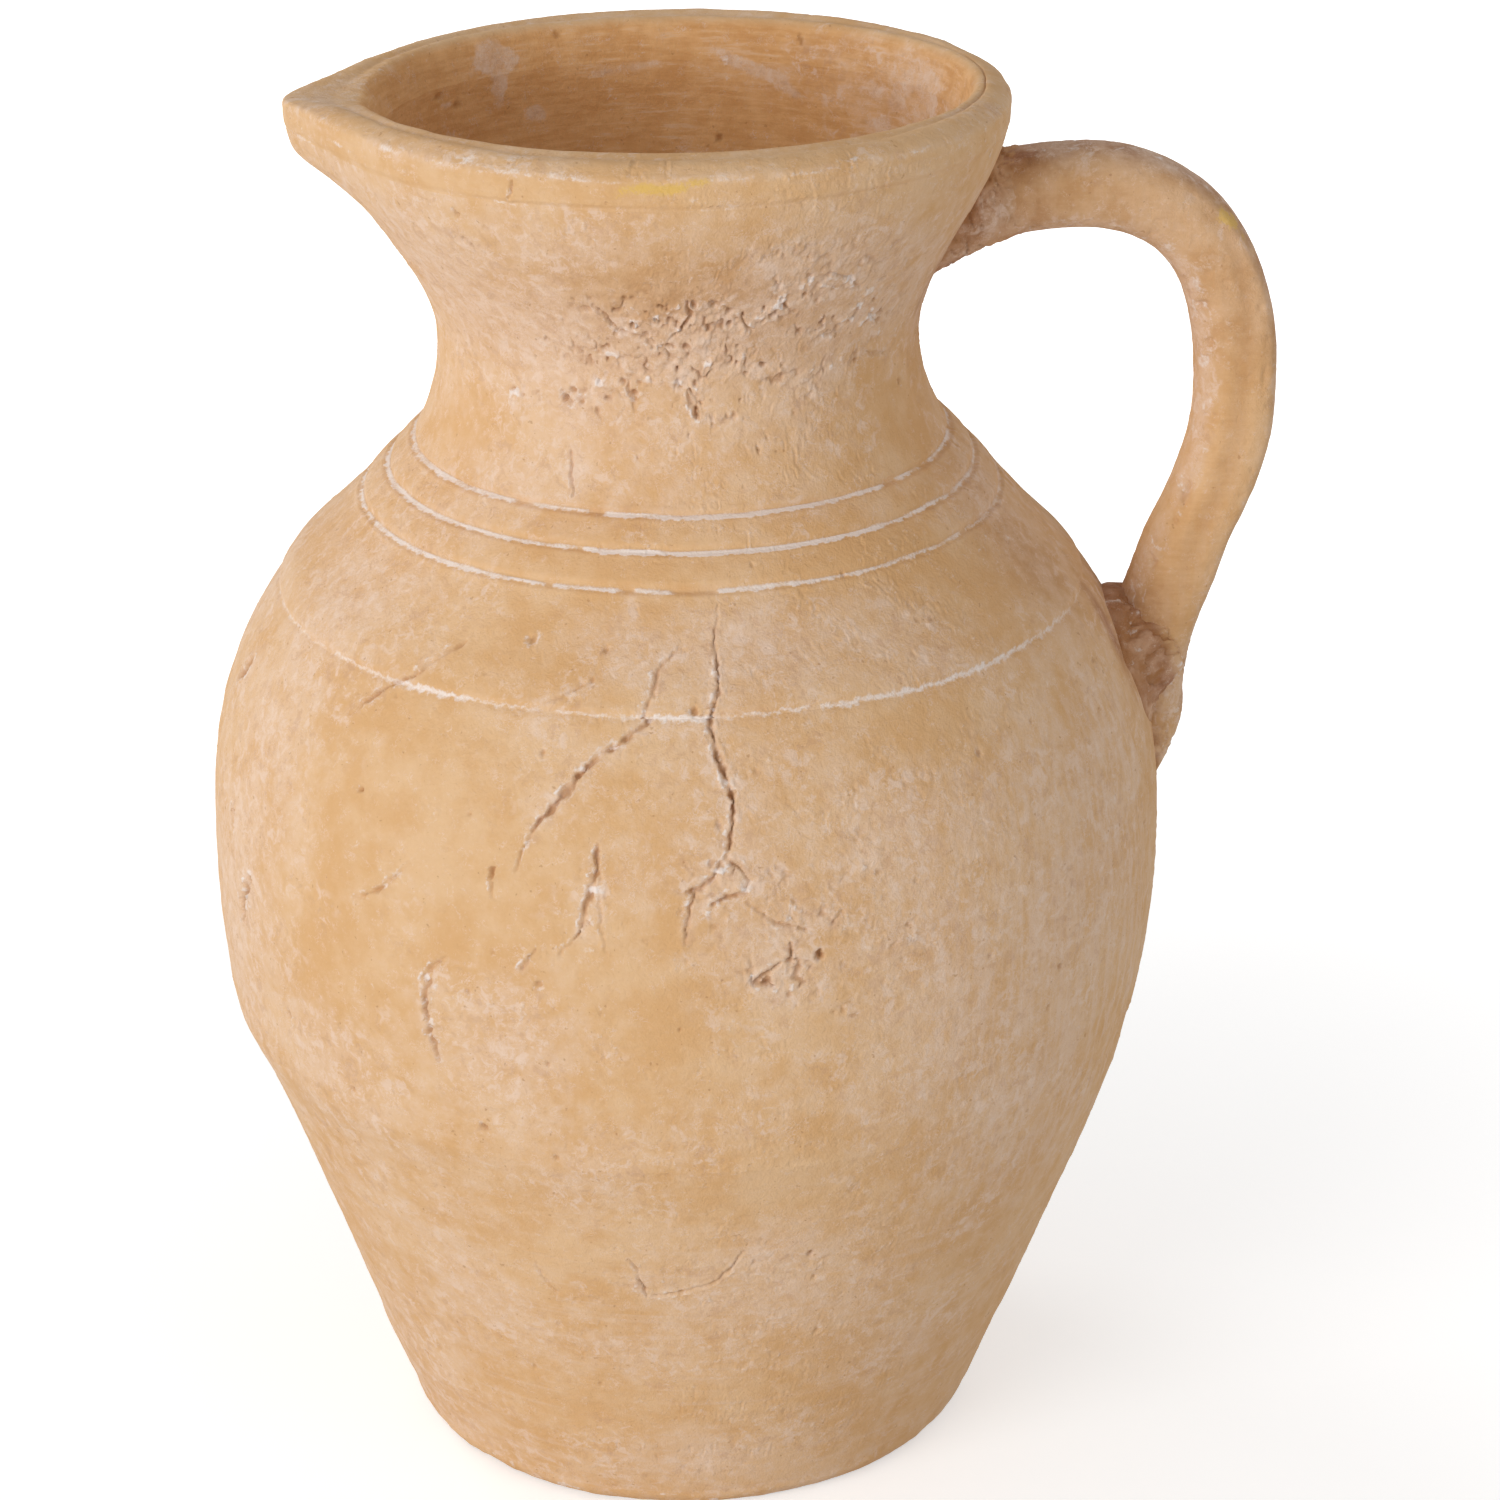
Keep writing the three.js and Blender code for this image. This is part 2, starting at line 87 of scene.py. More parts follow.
# Marks of the hand work. An azimuth is in degrees, and -90 faces the camera.
# A crack: azimuth, height, width and depth at each of its points
CRACKS = (
    ((-90.3, 206.8, .4, .3), (-91.3, 204.5, .6, .6), (-92.4, 202.7, .7, .8), (-94.2, 196.9, .9, 1),
     (-95.5, 193.6, .8, .8), (-98.1, 190.4, 1, .9), (-100.2, 188.6, .7, .9), (-103, 184.2, 1, 1.4),
     (-105.6, 179.7, 1, 1.4), (-107.1, 176.4, .8, 1.1), (-109.3, 170.3, .6, .8), (-110.2, 166.2, .4, .3)),
    ((-84.6, 212, .3, .2), (-85, 206.5, .7, .6), (-84.6, 202, .9, .9), (-85, 199.2, .9, .9), (-86.7, 195.2, .9, .9),
     (-86.1, 190.5, 1, 1), (-85.6, 186.8, 1.1, 1.2), (-84.5, 180.9, 1.3, 1.4), (-84.3, 176, 1.2, 1.4),
     (-85.4, 170.5, 1.1, 1.2)),
    ((-85.4, 170.5, 1, 1), (-87, 166.6, .9, .9), (-88.7, 164.4, .8, .8), (-90.9, 163.9, .5, .5)),
    ((-89.2, 163.4, .5, .5), (-89.7, 160.2, .8, .8), (-90.2, 156.6, .8, .7), (-90.4, 153.8, .4, .3)),
    ((-85.4, 170.5, .9, .9), (-84, 167.7, .8, .8), (-83, 165.7, .7, .7), (-83.4, 163.4, .7, .8),
     (-85.6, 162.9, 1.1, 1.1), (-87.1, 161.6, .8, .7)),
    ((-83.2, 161.6, .3, .3), (-81.6, 158.8, .5, .4), (-80.3, 157.1, .6, .6), (-78.6, 156.4, .6, .6),
     (-76.8, 155.1, .5, .4)),
    ((-78.8, 152.8, .5, .5), (-78.7, 149.6, .7, .7), (-78.9, 146.2, .6, .5)),
    ((-73.9, 155.6, .4, .4), (-72.6, 158.3, .3, .3)),
    ((-100.2, 172.6, .7, .7), (-100.5, 168.4, 1, 1.4), (-100.8, 164.4, 1.1, 1.6), (-101.4, 159.6, 1, 1.3),
     (-102.1, 155.3, .8, 1), (-104.2, 150.7, .4, .3)),
    ((-100.1, 168.3, .3, .2), (-99.8, 164.1, .4, .4), (-99.6, 158.2, .5, .4), (-99.3, 151.6, .4, .3)),
    ((-118.2, 146.2, .5, .5), (-119.4, 144.6, .8, .9), (-120.4, 141.1, 1.2, 1.4), (-120.9, 133.8, 1.1, 1.4),
     (-120.6, 130.3, 1.3, 1.6), (-119.9, 126.6, .9, 1.1), (-119.3, 122.8, .6, .7)),
    ((-122.9, 203.6, .6, .6), (-127.4, 198.3, .7, .7), (-130.4, 195.4, .8, .8), (-134.3, 191.6, .7, .7),
     (-137.8, 186.9, .5, .4)),
    ((-102.5, 200.5, .5, .5), (-106, 198, .4, .4), (-109.8, 195.4, .3, .2)),
    ((-112.4, 166, .9, 1), (-112.3, 160.7, .6, .6)),
    ((-114.6, 236.4, .7, .7), (-113.8, 228.8, .6, .5)),
    ((-112, 72.7, .4, .4), (-111, 68.4, .5, .5), (-109.4, 64.4, .4, .4)),
    ((-98.9, 77, .3, .3), (-98, 71.5, .5, .6), (-96.6, 66.5, .5, .7), (-92.4, 67.6, .4, .5), (-87.8, 70.3, .5, .5),
     (-85.4, 74.6, .5, .5), (-83.7, 79, .3, .3)),
    ((-169.4, 177.6, 1.4, .8), (-167.9, 180.6, 3.2, 1.2), (-167, 183.4, 1.8, .9)),
    ((-152.4, 145, 1.2, .8), (-153.2, 141.4, 2, 1.2), (-154.6, 138, 2.6, 1.3), (-155.2, 135, 2.2, 1.2),
     (-155.6, 131.6, 1, .8)),
    ((-159, 155, 1.8, .9), (-158.8, 152, 1.4, .8)),
    ((-123.2, 164, .4, .4), (-125.1, 160, .6, .6), (-126.2, 157.7, .9, .9), (-128.7, 155.4, .7, .7),
     (-131.1, 153.2, .5, .5)),
    ((-116.9, 296.2, .6, .5), (-117.3, 292.6, .5, .5)),
    ((-106.8, 150.9, .6, .6), (-108.6, 146.6, .8, .9)),
    ((-79.9, 148.8, .5, .5), (-81.4, 146.8, 1.2, 1.1), (-82.8, 145, 1, .9), (-80.6, 144.2, 1.1, 1)),
    ((-106.7, 269.4, .5, .5), (-105, 267.4, .6, .6), (-103, 264.1, .7, .8), (-100.2, 262.6, .6, .6),
     (-96.4, 261.7, .6, .6), (-95.2, 259.8, .9, 1)),
    ((-71.9, 274.9, .5, .5), (-70.9, 272.2, .7, .7)),
    ((-64.9, 273.9, .5, .5), (-60.5, 274, .6, .6), (-56.2, 272.2, .5, .6), (-52.7, 269.3, .4, .4)),
    ((-88.4, 249.8, .4, .4), (-87.5, 247.9, .7, .8), (-85.8, 244.6, .9, 1.1)),
    ((-44.2, 253.7, .5, .5), (-39.6, 251.4, .6, .6), (-33.4, 250, .4, .4)),
    ((-88.6, 270.4, .6, .6), (-87.8, 267.2, .8, .8), (-89.8, 263.8, .7, .7), (-92.3, 261.4, .5, .5)),
    ((-117.2, 248.4, .5, .5), (-115.3, 246.2, .7, .7), (-112.8, 247.8, .5, .5)),
    ((-102, 251.8, .5, .5), (-101.1, 248.9, .6, .6), (-99.6, 249.4, .4, .4)),
    ((62, 188, .4, .4), (58.5, 178.5, 1, 1), (57.8, 171, .9, 1), (54, 165.5, .4, .4)),
    ((118, 150, .4, .4), (121.5, 143.5, .9, .9), (121, 136, .4, .4)),
    ((95, 203, .4, .4), (92.5, 195.5, .7, .7), (94, 187, .8, .8), (91.2, 180, .4, .4)),
)
# A pit: azimuth, height, radius and depth
PITS = (
    (-75.2, 149.6, 1.25, 1.5), (-81.2, 145.2, 1.3, 1), (-78.9, 149.3, .7, .6), (-73.9, 137, .6, .5),
    (-76.8, 155.1, .6, .5), (-83.4, 147.6, .7, .5), (-116, 175.5, .5, .5), (-132, 174.6, .8, .9),
    (-168, 180.7, .5, .4), (-158.5, 153.2, .6, .5), (-108.6, 146.6, .6, .5), (-115.3, 139.7, .7, .6),
    (-105, 139, .6, .5), (-105.9, 126.2, .6, .6), (-111.2, 123.4, .5, .4), (-91, 135.5, .5, .5),
    (-26.9, 182.1, .6, .6), (-74.1, 69.3, .6, .5), (-89.7, 3.8, .8, .5), (-137.5, 190.5, .4, .3), (-152, 172, .4, .4),
    (-86, 245.8, .8, .8), (-85, 247, .6, .6), (-129.7, 246.8, .5, .4), (-115.8, 248.1, .5, .5), (-101, 251.8, .5, .5),
    (-95.4, 260.9, .7, .7), (-71.7, 273.7, .6, .6), (-61.4, 274.1, .6, .6), (-43, 253.3, .5, .4),
    (-105.5, 268.3, .5, .5), (-110.1, 270.3, .5, .5), (-85.3, 252.1, .5, .5), (-131.2, 246.8, .8, .7),
    (-128.4, 246, .7, .6), (-117, 247, 1, .9), (-114.4, 248.9, .9, .8), (-112.8, 246.6, .7, .6),
    (-110, 245.4, .5, .4), (-102.6, 251.6, .9, .8), (-100.3, 249.4, 1, .9), (-98.8, 251.6, .6, .5),
    (-119.6, 259.5, .5, .4), (-123.5, 255, .5, .4), (-107.5, 258, .6, .5), (-76.1, 247.3, .6, .6),
    (-100, 248, .7, .7), (-96.8, 262.6, .7, .7), (-62, 268, .7, .6), (-50.1, 262.7, .6, .5), (-88, 258, .6, .6),
)
# An incised ring: its height, and how much lime it holds at some azimuths
RINGS = (
    (226.0, (-172, -150, -136, -107, -105, -64, -60, -44.5, -43, -38, -30, -20, 0, 60, 120, 180),
     (.55, .7, .6, .45, .75, 1, .7, .7, .1, .6, .4, .5, .5, .6, .7, .6)),
    (220.3, (-176, -150, -137, -109, -107, -66, -50, -38, -20, 0, 60, 120, 180),
     (.6, .75, .6, .65, .95, .95, .7, .5, .3, .4, .6, .7, .6)),
    (214.3, (-166, -136, -115, -91, -89.2, -85, -83.5, -72, -40, -20, 0, 60, 120, 180),
     (.5, .6, .65, .6, .1, .1, .7, .6, .4, .3, .4, .6, .6, .5)),
)
SHOULDER_LINE = (
    (-180, -152, -147, -132, -130, -120, -118, -105, -100, -96, -94, -87, -85, -79, -76, -62, -44, -30, -15, -5,
     40, 90, 140),
    (.5, .6, .62, .72, .95, .95, .6, .6, .66, .6, .95, .95, .6, .6, .75, .85, .9, .7, .5, .2, .4, .6, .45),
)
# A soft patch: azimuth, height, half-width, half-height, amount and, where it leans, tilt in degrees
LIME = (
    (-124, 160, 34, 60, .12), (-94, 262, 30, 24, .1), (-92, 228, 30, 12, .14), (-150, 165, 22, 40, .32),
    (-160, 130, 16, 30, .38), (-152, 205, 14, 10, .3), (-128, 232, 12, 8, .35), (-118, 255, 10, 22, .55),
    (-140, 268, 14, 18, .6), (-104, 281, 12, 6, .35), (-60, 280, 16, 6, .4), (-30, 266, 16, 12, .35),
    (-75, 262, 20, 12, .3), (-58, 246, 14, 10, .3), (-100, 206, 14, 5, .4), (-78, 205, 14, 7, .5, 10),
    (-55, 200, 18, 9, .35, -8), (-86, 178, 12, 20, .35), (-66, 172, 18, 16, .35, 20), (-62, 146, 16, 18, .35),
    (-80, 150, 10, 12, .45), (-42, 150, 20, 44, .4), (-28, 160, 14, 36, .42), (-50, 110, 18, 26, .3),
    (-36, 80, 14, 30, .25), (-64, 116, 16, 14, .25), (-92, 112, 20, 10, .25), (-110, 128, 16, 12, .35),
    (-140, 112, 16, 14, .3), (-100, 96, 18, 10, .25), (-76, 80, 18, 12, .35), (-70, 62, 22, 12, .4),
    (-100, 44, 20, 10, .3), (-60, 38, 20, 12, .35), (-86, 22, 20, 7, .3), (-124, 60, 14, 16, .25),
    (-20, 218, 14, 7, .5), (-14, 204, 14, 10, .3), (-97, 164, 7, 12, .25), (30, 160, 30, 30, .4),
    (75, 190, 30, 12, .4), (110, 150, 22, 34, .45), (150, 120, 26, 20, .4), (60, 90, 30, 24, .35),
    (120, 60, 30, 20, .35), (20, 60, 24, 24, .3), (90, 255, 22, 14, .45), (40, 262, 12, 12, .3),
    (150, 258, 16, 14, .4), (170, 190, 20, 14, .35), (90, 30, 30, 12, .3),
)
OCHRE = (
    (-97, 273, 10, 7, .8), (-128, 178, 26, 18, .7, 15), (-115, 160, 24, 16, .6, 20), (-135, 140, 18, 14, .4),
    (-98, 218, 20, 4, .5), (-60, 216, 20, 4, .45), (-116, 205, 20, 6, .4), (-52, 186, 18, 6, .4),
    (-98, 150, 12, 12, .35), (-94, 122, 20, 16, .4), (-108, 84, 22, 18, .45), (-84, 96, 20, 12, .4),
    (-38, 205, 16, 9, .5), (-60, 190, 16, 8, .35), (-96, 36, 26, 12, .4), (-120, 30, 16, 16, .35),
    (-34, 234, 10, 8, .55), (-124, 240, 8, 12, .35), (-70, 30, 20, 10, .3), (-30, 120, 14, 12, .25),
    (60, 150, 30, 24, .5), (100, 110, 30, 20, .45), (140, 180, 24, 12, .5), (80, 215, 24, 5, .4),
    (170, 80, 26, 30, .45), (20, 110, 24, 20, .35),
)
REDDISH = (
    (-11, 186, 3, 9, .8, -12), (11, 186, 3, 9, .8, 12), (0, 176, 17, 14, .7), (0, 262, 15, 14, .7),
    (-16, 262, 4, 12, .4), (-88, 268, 38, 16, .38), (-20, 205, 12, 14, .35),
)
STAINS = (
    (-95, 296, 3.4, 1.1, 1.1), (-90.6, 295.8, 3.2, 1.1, 1, 8), (-86.6, 297, 2.4, .8, .8), (-99, 295, 2, 1.2, .5, 40),
)
# Where the clay's skin has flaked off, and where it is broken
FLAKED = (
    (-104, 269.5, 6, 2.2, 1), (-96, 266, 6, 4, 1, -20), (-90, 268, 5, 3, 1), (-86, 259, 7, 7, 1.1),
    (-78, 260, 8, 7, .9), (-85, 249, 6, 5, .8), (-66, 270, 7, 4, .7, 20), (-57, 273.5, 6, 2.2, 1, 8),
    (-44, 272, 5, 2.4, .8), (-64, 259, 9, 8, .55), (-50, 256, 7, 9, .5), (-72, 246, 9, 5, .5),
    (-129, 246.4, 4.5, 3.4, 1.3), (-114, 248.4, 6, 4.2, 1.5), (-101, 250.5, 4.5, 4.5, 1.3), (-108, 259, 4, 4, .5),
    (-120, 262, 6, 5, .45), (-150, 250, 9, 8, .4), (-80, 262, 24, 10, .5), (-56, 264, 22, 14, .5),
    (-44, 256, 12, 10, .4), (-70, 280, 14, 3, .4), (-100, 255, 14, 8, .35), (-95, 246, 14, 5, .4),
    (-128, 281, 5, 1.6, .9, -14), (-118, 284.5, 6, 1.4, .9, -6), (-107, 286, 6, 1.5, .8), (60, 262, 14, 9, .7),
    (110, 252, 12, 7, .6), (160, 262, 12, 8, .5),
)
SCARS = (
    (-85, 165, 7, 6, 1.3), (-89, 158, 3, 7, .9), (-79, 148, 9, 8, 1.3), (-100.5, 160, 3, 9, .7),
    (-120, 133, 4, 9, .35), (-129, 157, 4, 2, .9), (-96, 203, 6, 4, .4), (-85.5, 202, 4, 6, .7),
    (-76, 160, 6, 9, .8, 20), (-70, 166, 6, 7, .7), (-94, 152, 9, 3, .35), (-112, 139, 8, 4, .4), (-96, 71, 9, 5, .7),
    (-84, 76, 7, 4, .6), (-76, 84, 8, 5, .5), (-70, 96, 7, 6, .4), (-105, 66, 6, 3, .5), (-88, 14, 12, 4, .5),
    (-60, 20, 10, 4, .5), (-52, 205, 7, 4, .4), (-40, 150, 6, 6, .4), (-58, 128, 7, 5, .4), (-154, 150, 5, 12, .5),
    (-108, 288, 6, 2, .5), (-66, 150, 7, 7, .8), (-60, 176, 5, 5, .6), (-72, 136, 7, 5, .6), (-60, 240, 6, 6, .4),
    (62, 178, 6, 10, .6), (120, 142, 6, 9, .6), (93, 192, 6, 8, .5), (30, 90, 9, 6, .4),
)
LIP_SCUFFS = (
    (-131, 298, 4, 1, .9, -6), (-126, 298.6, 3, .9, .8), (-165, 298, 4, .8, .8), (-158, 294.5, 5, .8, .7, -6),
    (-143, 297.5, 4, .7, .7), (-118, 299.4, 2, .5, .6), (-60, 298.6, 4, .6, .8), (-48, 297.2, 4, .7, .8, 6),
    (-70, 295.5, 6, .4, .5, 3), (-100, 297, 6, .4, .4), (-150, 296, 5, .7, .5), (-139, 294, 5, 1.2, .4),
    (-36, 296, 4, .8, .4),
)
INNER_LIME = (
    (146, 287.4, 4, 1.2, .7), (134, 296, 4, 3, .9), (129, 295, 4, 3, .8), (131.5, 288, 2.6, 6, .9),
    (122.5, 281.4, 4, 3, .9), (26.5, 292, 7, 4, .8), (40, 288, 6, 4, .5), (110, 289, 9, 4, .35), (98, 290, 9, 4, .55),
    (80, 284, 12, 6, .3), (78, 292, 9, 2, .6, 24), (64, 286, 8, 2.2, .6, 30), (52, 278, 8, 4, .35),
    (33, 289, 2, 5, .9, 30), (22, 288, 2, 5, .8, -30), (38, 281, 5, 2.5, .7),
)
INNER_BLOOM = (
    (26, 286, 22, 14, .55), (52, 290, 16, 8, .25),
)
INNER_PITS = (
    (149, 289.5, 2.2, 1.1, .5), (143, 286.5, 2.2, 1.1, .5), (116.9, 298, 1.4, 1.4, .8), (61.3, 296.4, .7, 2, .9, -20),
    (80, 274, 1, 1, .8),
)


# Functions used throughout
def smooth(x, low, high):
    """A smooth rise from 0 at low to 1 at high."""
    t = np.clip((x - low) / (high - low), 0, 1)
    return t * t * (3 - 2 * t)


def band(x, low, full, fade, end):
    """A smooth rise between low and full and a smooth fall between fade and end."""
    return smooth(x, low, full) * (1 - smooth(x, fade, end))


def bell(x, centre, width):
    return np.exp(-((x - centre) / width) ** 2)


def unit(x):
    return np.clip(x, 0, 1)


def most(first, *others):
    """The largest of several values at each point."""
    for other in others:
        first = np.maximum(first, other)
    return first


def turned(turn):
    """A turn about the axis, brought between -pi and pi."""
    return (turn + np.pi) % (2 * np.pi) - np.pi


def together(*values):
    """Values side by side at each point, as coordinates, corners or colours."""
    return np.stack(np.broadcast_arrays(*values), -1)


def placed(radius, turn, z):
    return together(radius * np.cos(turn), radius * np.sin(turn), z)


def polar(points):
    return np.arctan2(points[:, 1], points[:, 0]), np.hypot(points[:, 0], points[:, 1])


# The form of the wall
def wall(z):
    """The wall's outer radius and its slope at heights z."""
    radius, lean = np.zeros_like(z), np.zeros_like(z)
    for i, (low, high) in enumerate(zip(STATIONS, STATIONS[1:])):
        rise = high[1] - low[1]
        inside = z >= low[1] if i else np.ones_like(z, bool)
        t = unit((z[inside] - low[1]) / rise)
        u = 1 - t
        p = (low[0], low[0] + low[3] * rise / 3, high[0] - high[2] * rise / 3, high[0])
        radius[inside] = u**3 * p[0] + 3 * u * u * t * p[1] + 3 * u * t * t * p[2] + t**3 * p[3]
        lean[inside] = (u * u * (p[1] - p[0]) + 2 * u * t * (p[2] - p[1]) + t * t * (p[3] - p[2])) * 3 / rise
    return radius, lean


def fold(turn):
    """How strongly the spout shows at a turn about the axis, from 1 on its fold to 0."""
    away = np.abs(turn % (2 * np.pi) - np.pi)
    peak = 1 / (1 + (away / SPOUT_HALF_ANGLE) ** 2)
    edge = 1 / (1 + (SPOUT_SPREAD / SPOUT_HALF_ANGLE) ** 2)
    return np.where(away > SPOUT_SPREAD, 0, (peak - edge) / (1 - edge))


def flare(z):
    return smooth(z, WAIST, LIP_SEAM)


def rim_shift(turn):
    return -LIP_OFFSET * np.cos(turn)


def mouth(turn):
    oval = MOUTH_LONG * MOUTH_SHORT / np.hypot(MOUTH_SHORT * np.cos(turn), MOUTH_LONG * np.sin(turn))
    return oval + rim_shift(turn)


def outer_radius(turn, z):
    radius, lean = wall(z)
    spout = smooth(z, LIP_SEAM - SPOUT_DEPTH, LIP_SEAM - SPOUT_FACE_DROP) ** SPOUT_FADE
    return radius + flare(z) * rim_shift(turn) + spout * SPOUT_REACH * fold(turn), lean


def inner_radius(turn, z):
    radius, lean = wall(z)
    even = radius - WALL * np.hypot(1, lean)
    return even + flare(z) * (mouth(turn) - MOUTH_ROUNDING - even)


# Smooth random lumps, the same wherever two pieces meet
LATTICE = np.random.default_rng(11).random((64, 64, 64), dtype=np.float32) * 2 - 1


def lumps(points, size, seed=0):
    """Smooth noise from -1 to 1 at points, with lumps of a size in mm, or of three sizes along X, Y and Z."""
    p = points / np.array(size, float) + seed * 13.37
    cell = np.floor(p).astype(np.int64)
    f = p - cell
    f = f * f * (3 - 2 * f)
    total = np.zeros(len(points))
    for corner in np.ndindex(2, 2, 2):
        at = (cell + corner) & 63
        weight = np.prod(np.where(corner, f, 1 - f), axis=1)
        total += weight * LATTICE[at[:, 0], at[:, 1], at[:, 2]]
    return total


def fractal(points, size, octaves, seed=0, keep=0.5):
    total, scale, amount = 0, 0, 1.0
    for octave in range(octaves):
        total = total + amount * lumps(points, np.array(size, float) / 2**octave, seed + 3 * octave)
        scale += amount
        amount *= keep
    return total / scale


def curls(points, size, seed, width=.1):
    """A network of thin curved lines, as where thin flakes of clay have lifted."""
    return 1 - smooth(np.abs(lumps(points, size, seed) + .3 * lumps(points, size / 3, seed + 1)), 0, width)


def spread(low, high, spacing, per_unit=1):
    """Places from low to high, spaced as a table says. per_unit is mm for each unit."""
    xs, gaps = np.array(spacing).T
    fine = np.linspace(low, high, 4000)
    density = per_unit / np.interp((fine[1:] + fine[:-1]) / 2, xs, gaps)
    reach = np.concatenate([[0], np.cumsum(density * np.diff(fine))])
    count = max(2, int(round(reach[-1])))
    return np.interp(np.linspace(0, reach[-1], count + 1), reach, fine)


TYPICAL_RADIUS = 100
TURNS = np.radians(spread(-180, 180, TURN_SPACING, TYPICAL_RADIUS * math.pi / 180))[:-1]


# The marks of the outer surface
def bumps(turn, z, radius, patches):
    """The sum of soft patches on a surface."""
    total = np.zeros_like(turn)
    for azimuth, height, half_wide, half_high, amount, *tilt in patches:
        across, up = turned(turn - math.radians(azimuth)) * radius, z - height
        c, s = math.cos(math.radians(sum(tilt))), math.sin(math.radians(sum(tilt)))
        u, v = (across * c + up * s) / half_wide, (up * c - across * s) / half_high
        total += amount * np.exp(-(u * u + v * v))
    return total


def crack_depth(turn, z, radius, points, white):
    """Depth of the cracks, and the crumbled zone along them. Lime on their lips goes to white."""
    depth, zone = np.zeros_like(turn), np.zeros_like(turn)
    ragged = lumps(points, 1.2, 5) * .9 + lumps(points, .65, 6) * .5
    uneven = .8 + .5 * lumps(points, 2.1, 7)
    bend = lumps(points, 6.0, 8) * .7 + lumps(points, 1.9, 12) * .45 + lumps(points, .9, 13) * .22
    for crack in CRACKS:
        azimuths, heights, widths, depths = np.array(crack).T
        centre = math.radians(np.mean(azimuths))
        away = turned(turn - centre)
        near = (z > heights.min() - 5) & (z < heights.max() + 5)
        near &= np.abs(away) * radius < np.ptp(np.radians(azimuths)) * TYPICAL_RADIUS + 6
        if not near.any():
            continue
        across, up = away[near] * radius[near] + bend[near], z[near]
        xs = (np.radians(azimuths) - centre) * float(np.median(radius[near]))
        best, (wide, deep, side) = np.full(len(up), 99.0), np.zeros((3, len(up)))
        for i in range(len(crack) - 1):
            dx, dz = xs[i + 1] - xs[i], heights[i + 1] - heights[i]
            t = unit(((across - xs[i]) * dx + (up - heights[i]) * dz) / (dx * dx + dz * dz))
            off = np.hypot(across - xs[i] - t * dx, up - heights[i] - t * dz)
            closer = off < best
            best = np.where(closer, off, best)
            wide = np.where(closer, widths[i] + t * (widths[i + 1] - widths[i]), wide)
            deep = np.where(closer, depths[i] + t * (depths[i + 1] - depths[i]), deep)
            side = np.where(closer, np.sign((across - xs[i]) * dz - (up - heights[i]) * dx), side)
        half = most((wide * .5 + .12) * (1 + ragged[near]), .2)
        inside = unit(1 - best / half)
        depth[near] = most(depth[near], (.8 * deep + .12) * uneven[near] * np.minimum(1, inside * 1.5))
        zone[near] = most(zone[near], bell(best, 0, .7 + 1.1 * wide) * np.minimum(1, deep * .9))
        # the lip is pushed up a little, and lime clings to one side of it
        lip = bell(best, half + .3, .35) * (best > half * .8)
        depth[near] -= .14 * np.minimum(wide, 1) * lip * (1 + ragged[near])
        clings = lip * np.clip(.1 + .9 * ragged[near] + .25 * side, 0, .9) * np.minimum(1, deep)
        white[near] = most(white[near], clings)
    return depth, zone


def pit_depth(turn, z, radius, points, white):
    """Depth of the pits, those listed and others scattered at random. Lime on their rims goes to white."""
    depth = np.zeros_like(turn)
    ragged = lumps(points, 1.3, 9) * .8 + lumps(points, .6, 10) * .45
    generator = np.random.default_rng(5)
    scattered = [(generator.uniform(-180, 180), generator.uniform(8, 292), r, r * generator.uniform(.5, .9))
                 for r in generator.gamma(2.2, .14, 420) + .2]
    for azimuth, height, size, deep in [*PITS, *scattered]:
        near = np.abs(z - height) < size * 3 + .6
        off = np.hypot(turned(turn[near] - math.radians(azimuth)) * radius[near], z[near] - height)
        index, off = np.nonzero(near)[0][off < size * 3], off[off < size * 3]
        inside = unit(1 - off / (size * (1 + ragged[index])).clip(.15))
        depth[index] = most(depth[index], deep * np.minimum(1, inside * 1.5))
        rim = bell(off, size * 1.25, .3 * size + .15)
        white[index] = most(white[index], .6 * rim * unit(ragged[index] * 1.6) * min(1, size))
    return depth


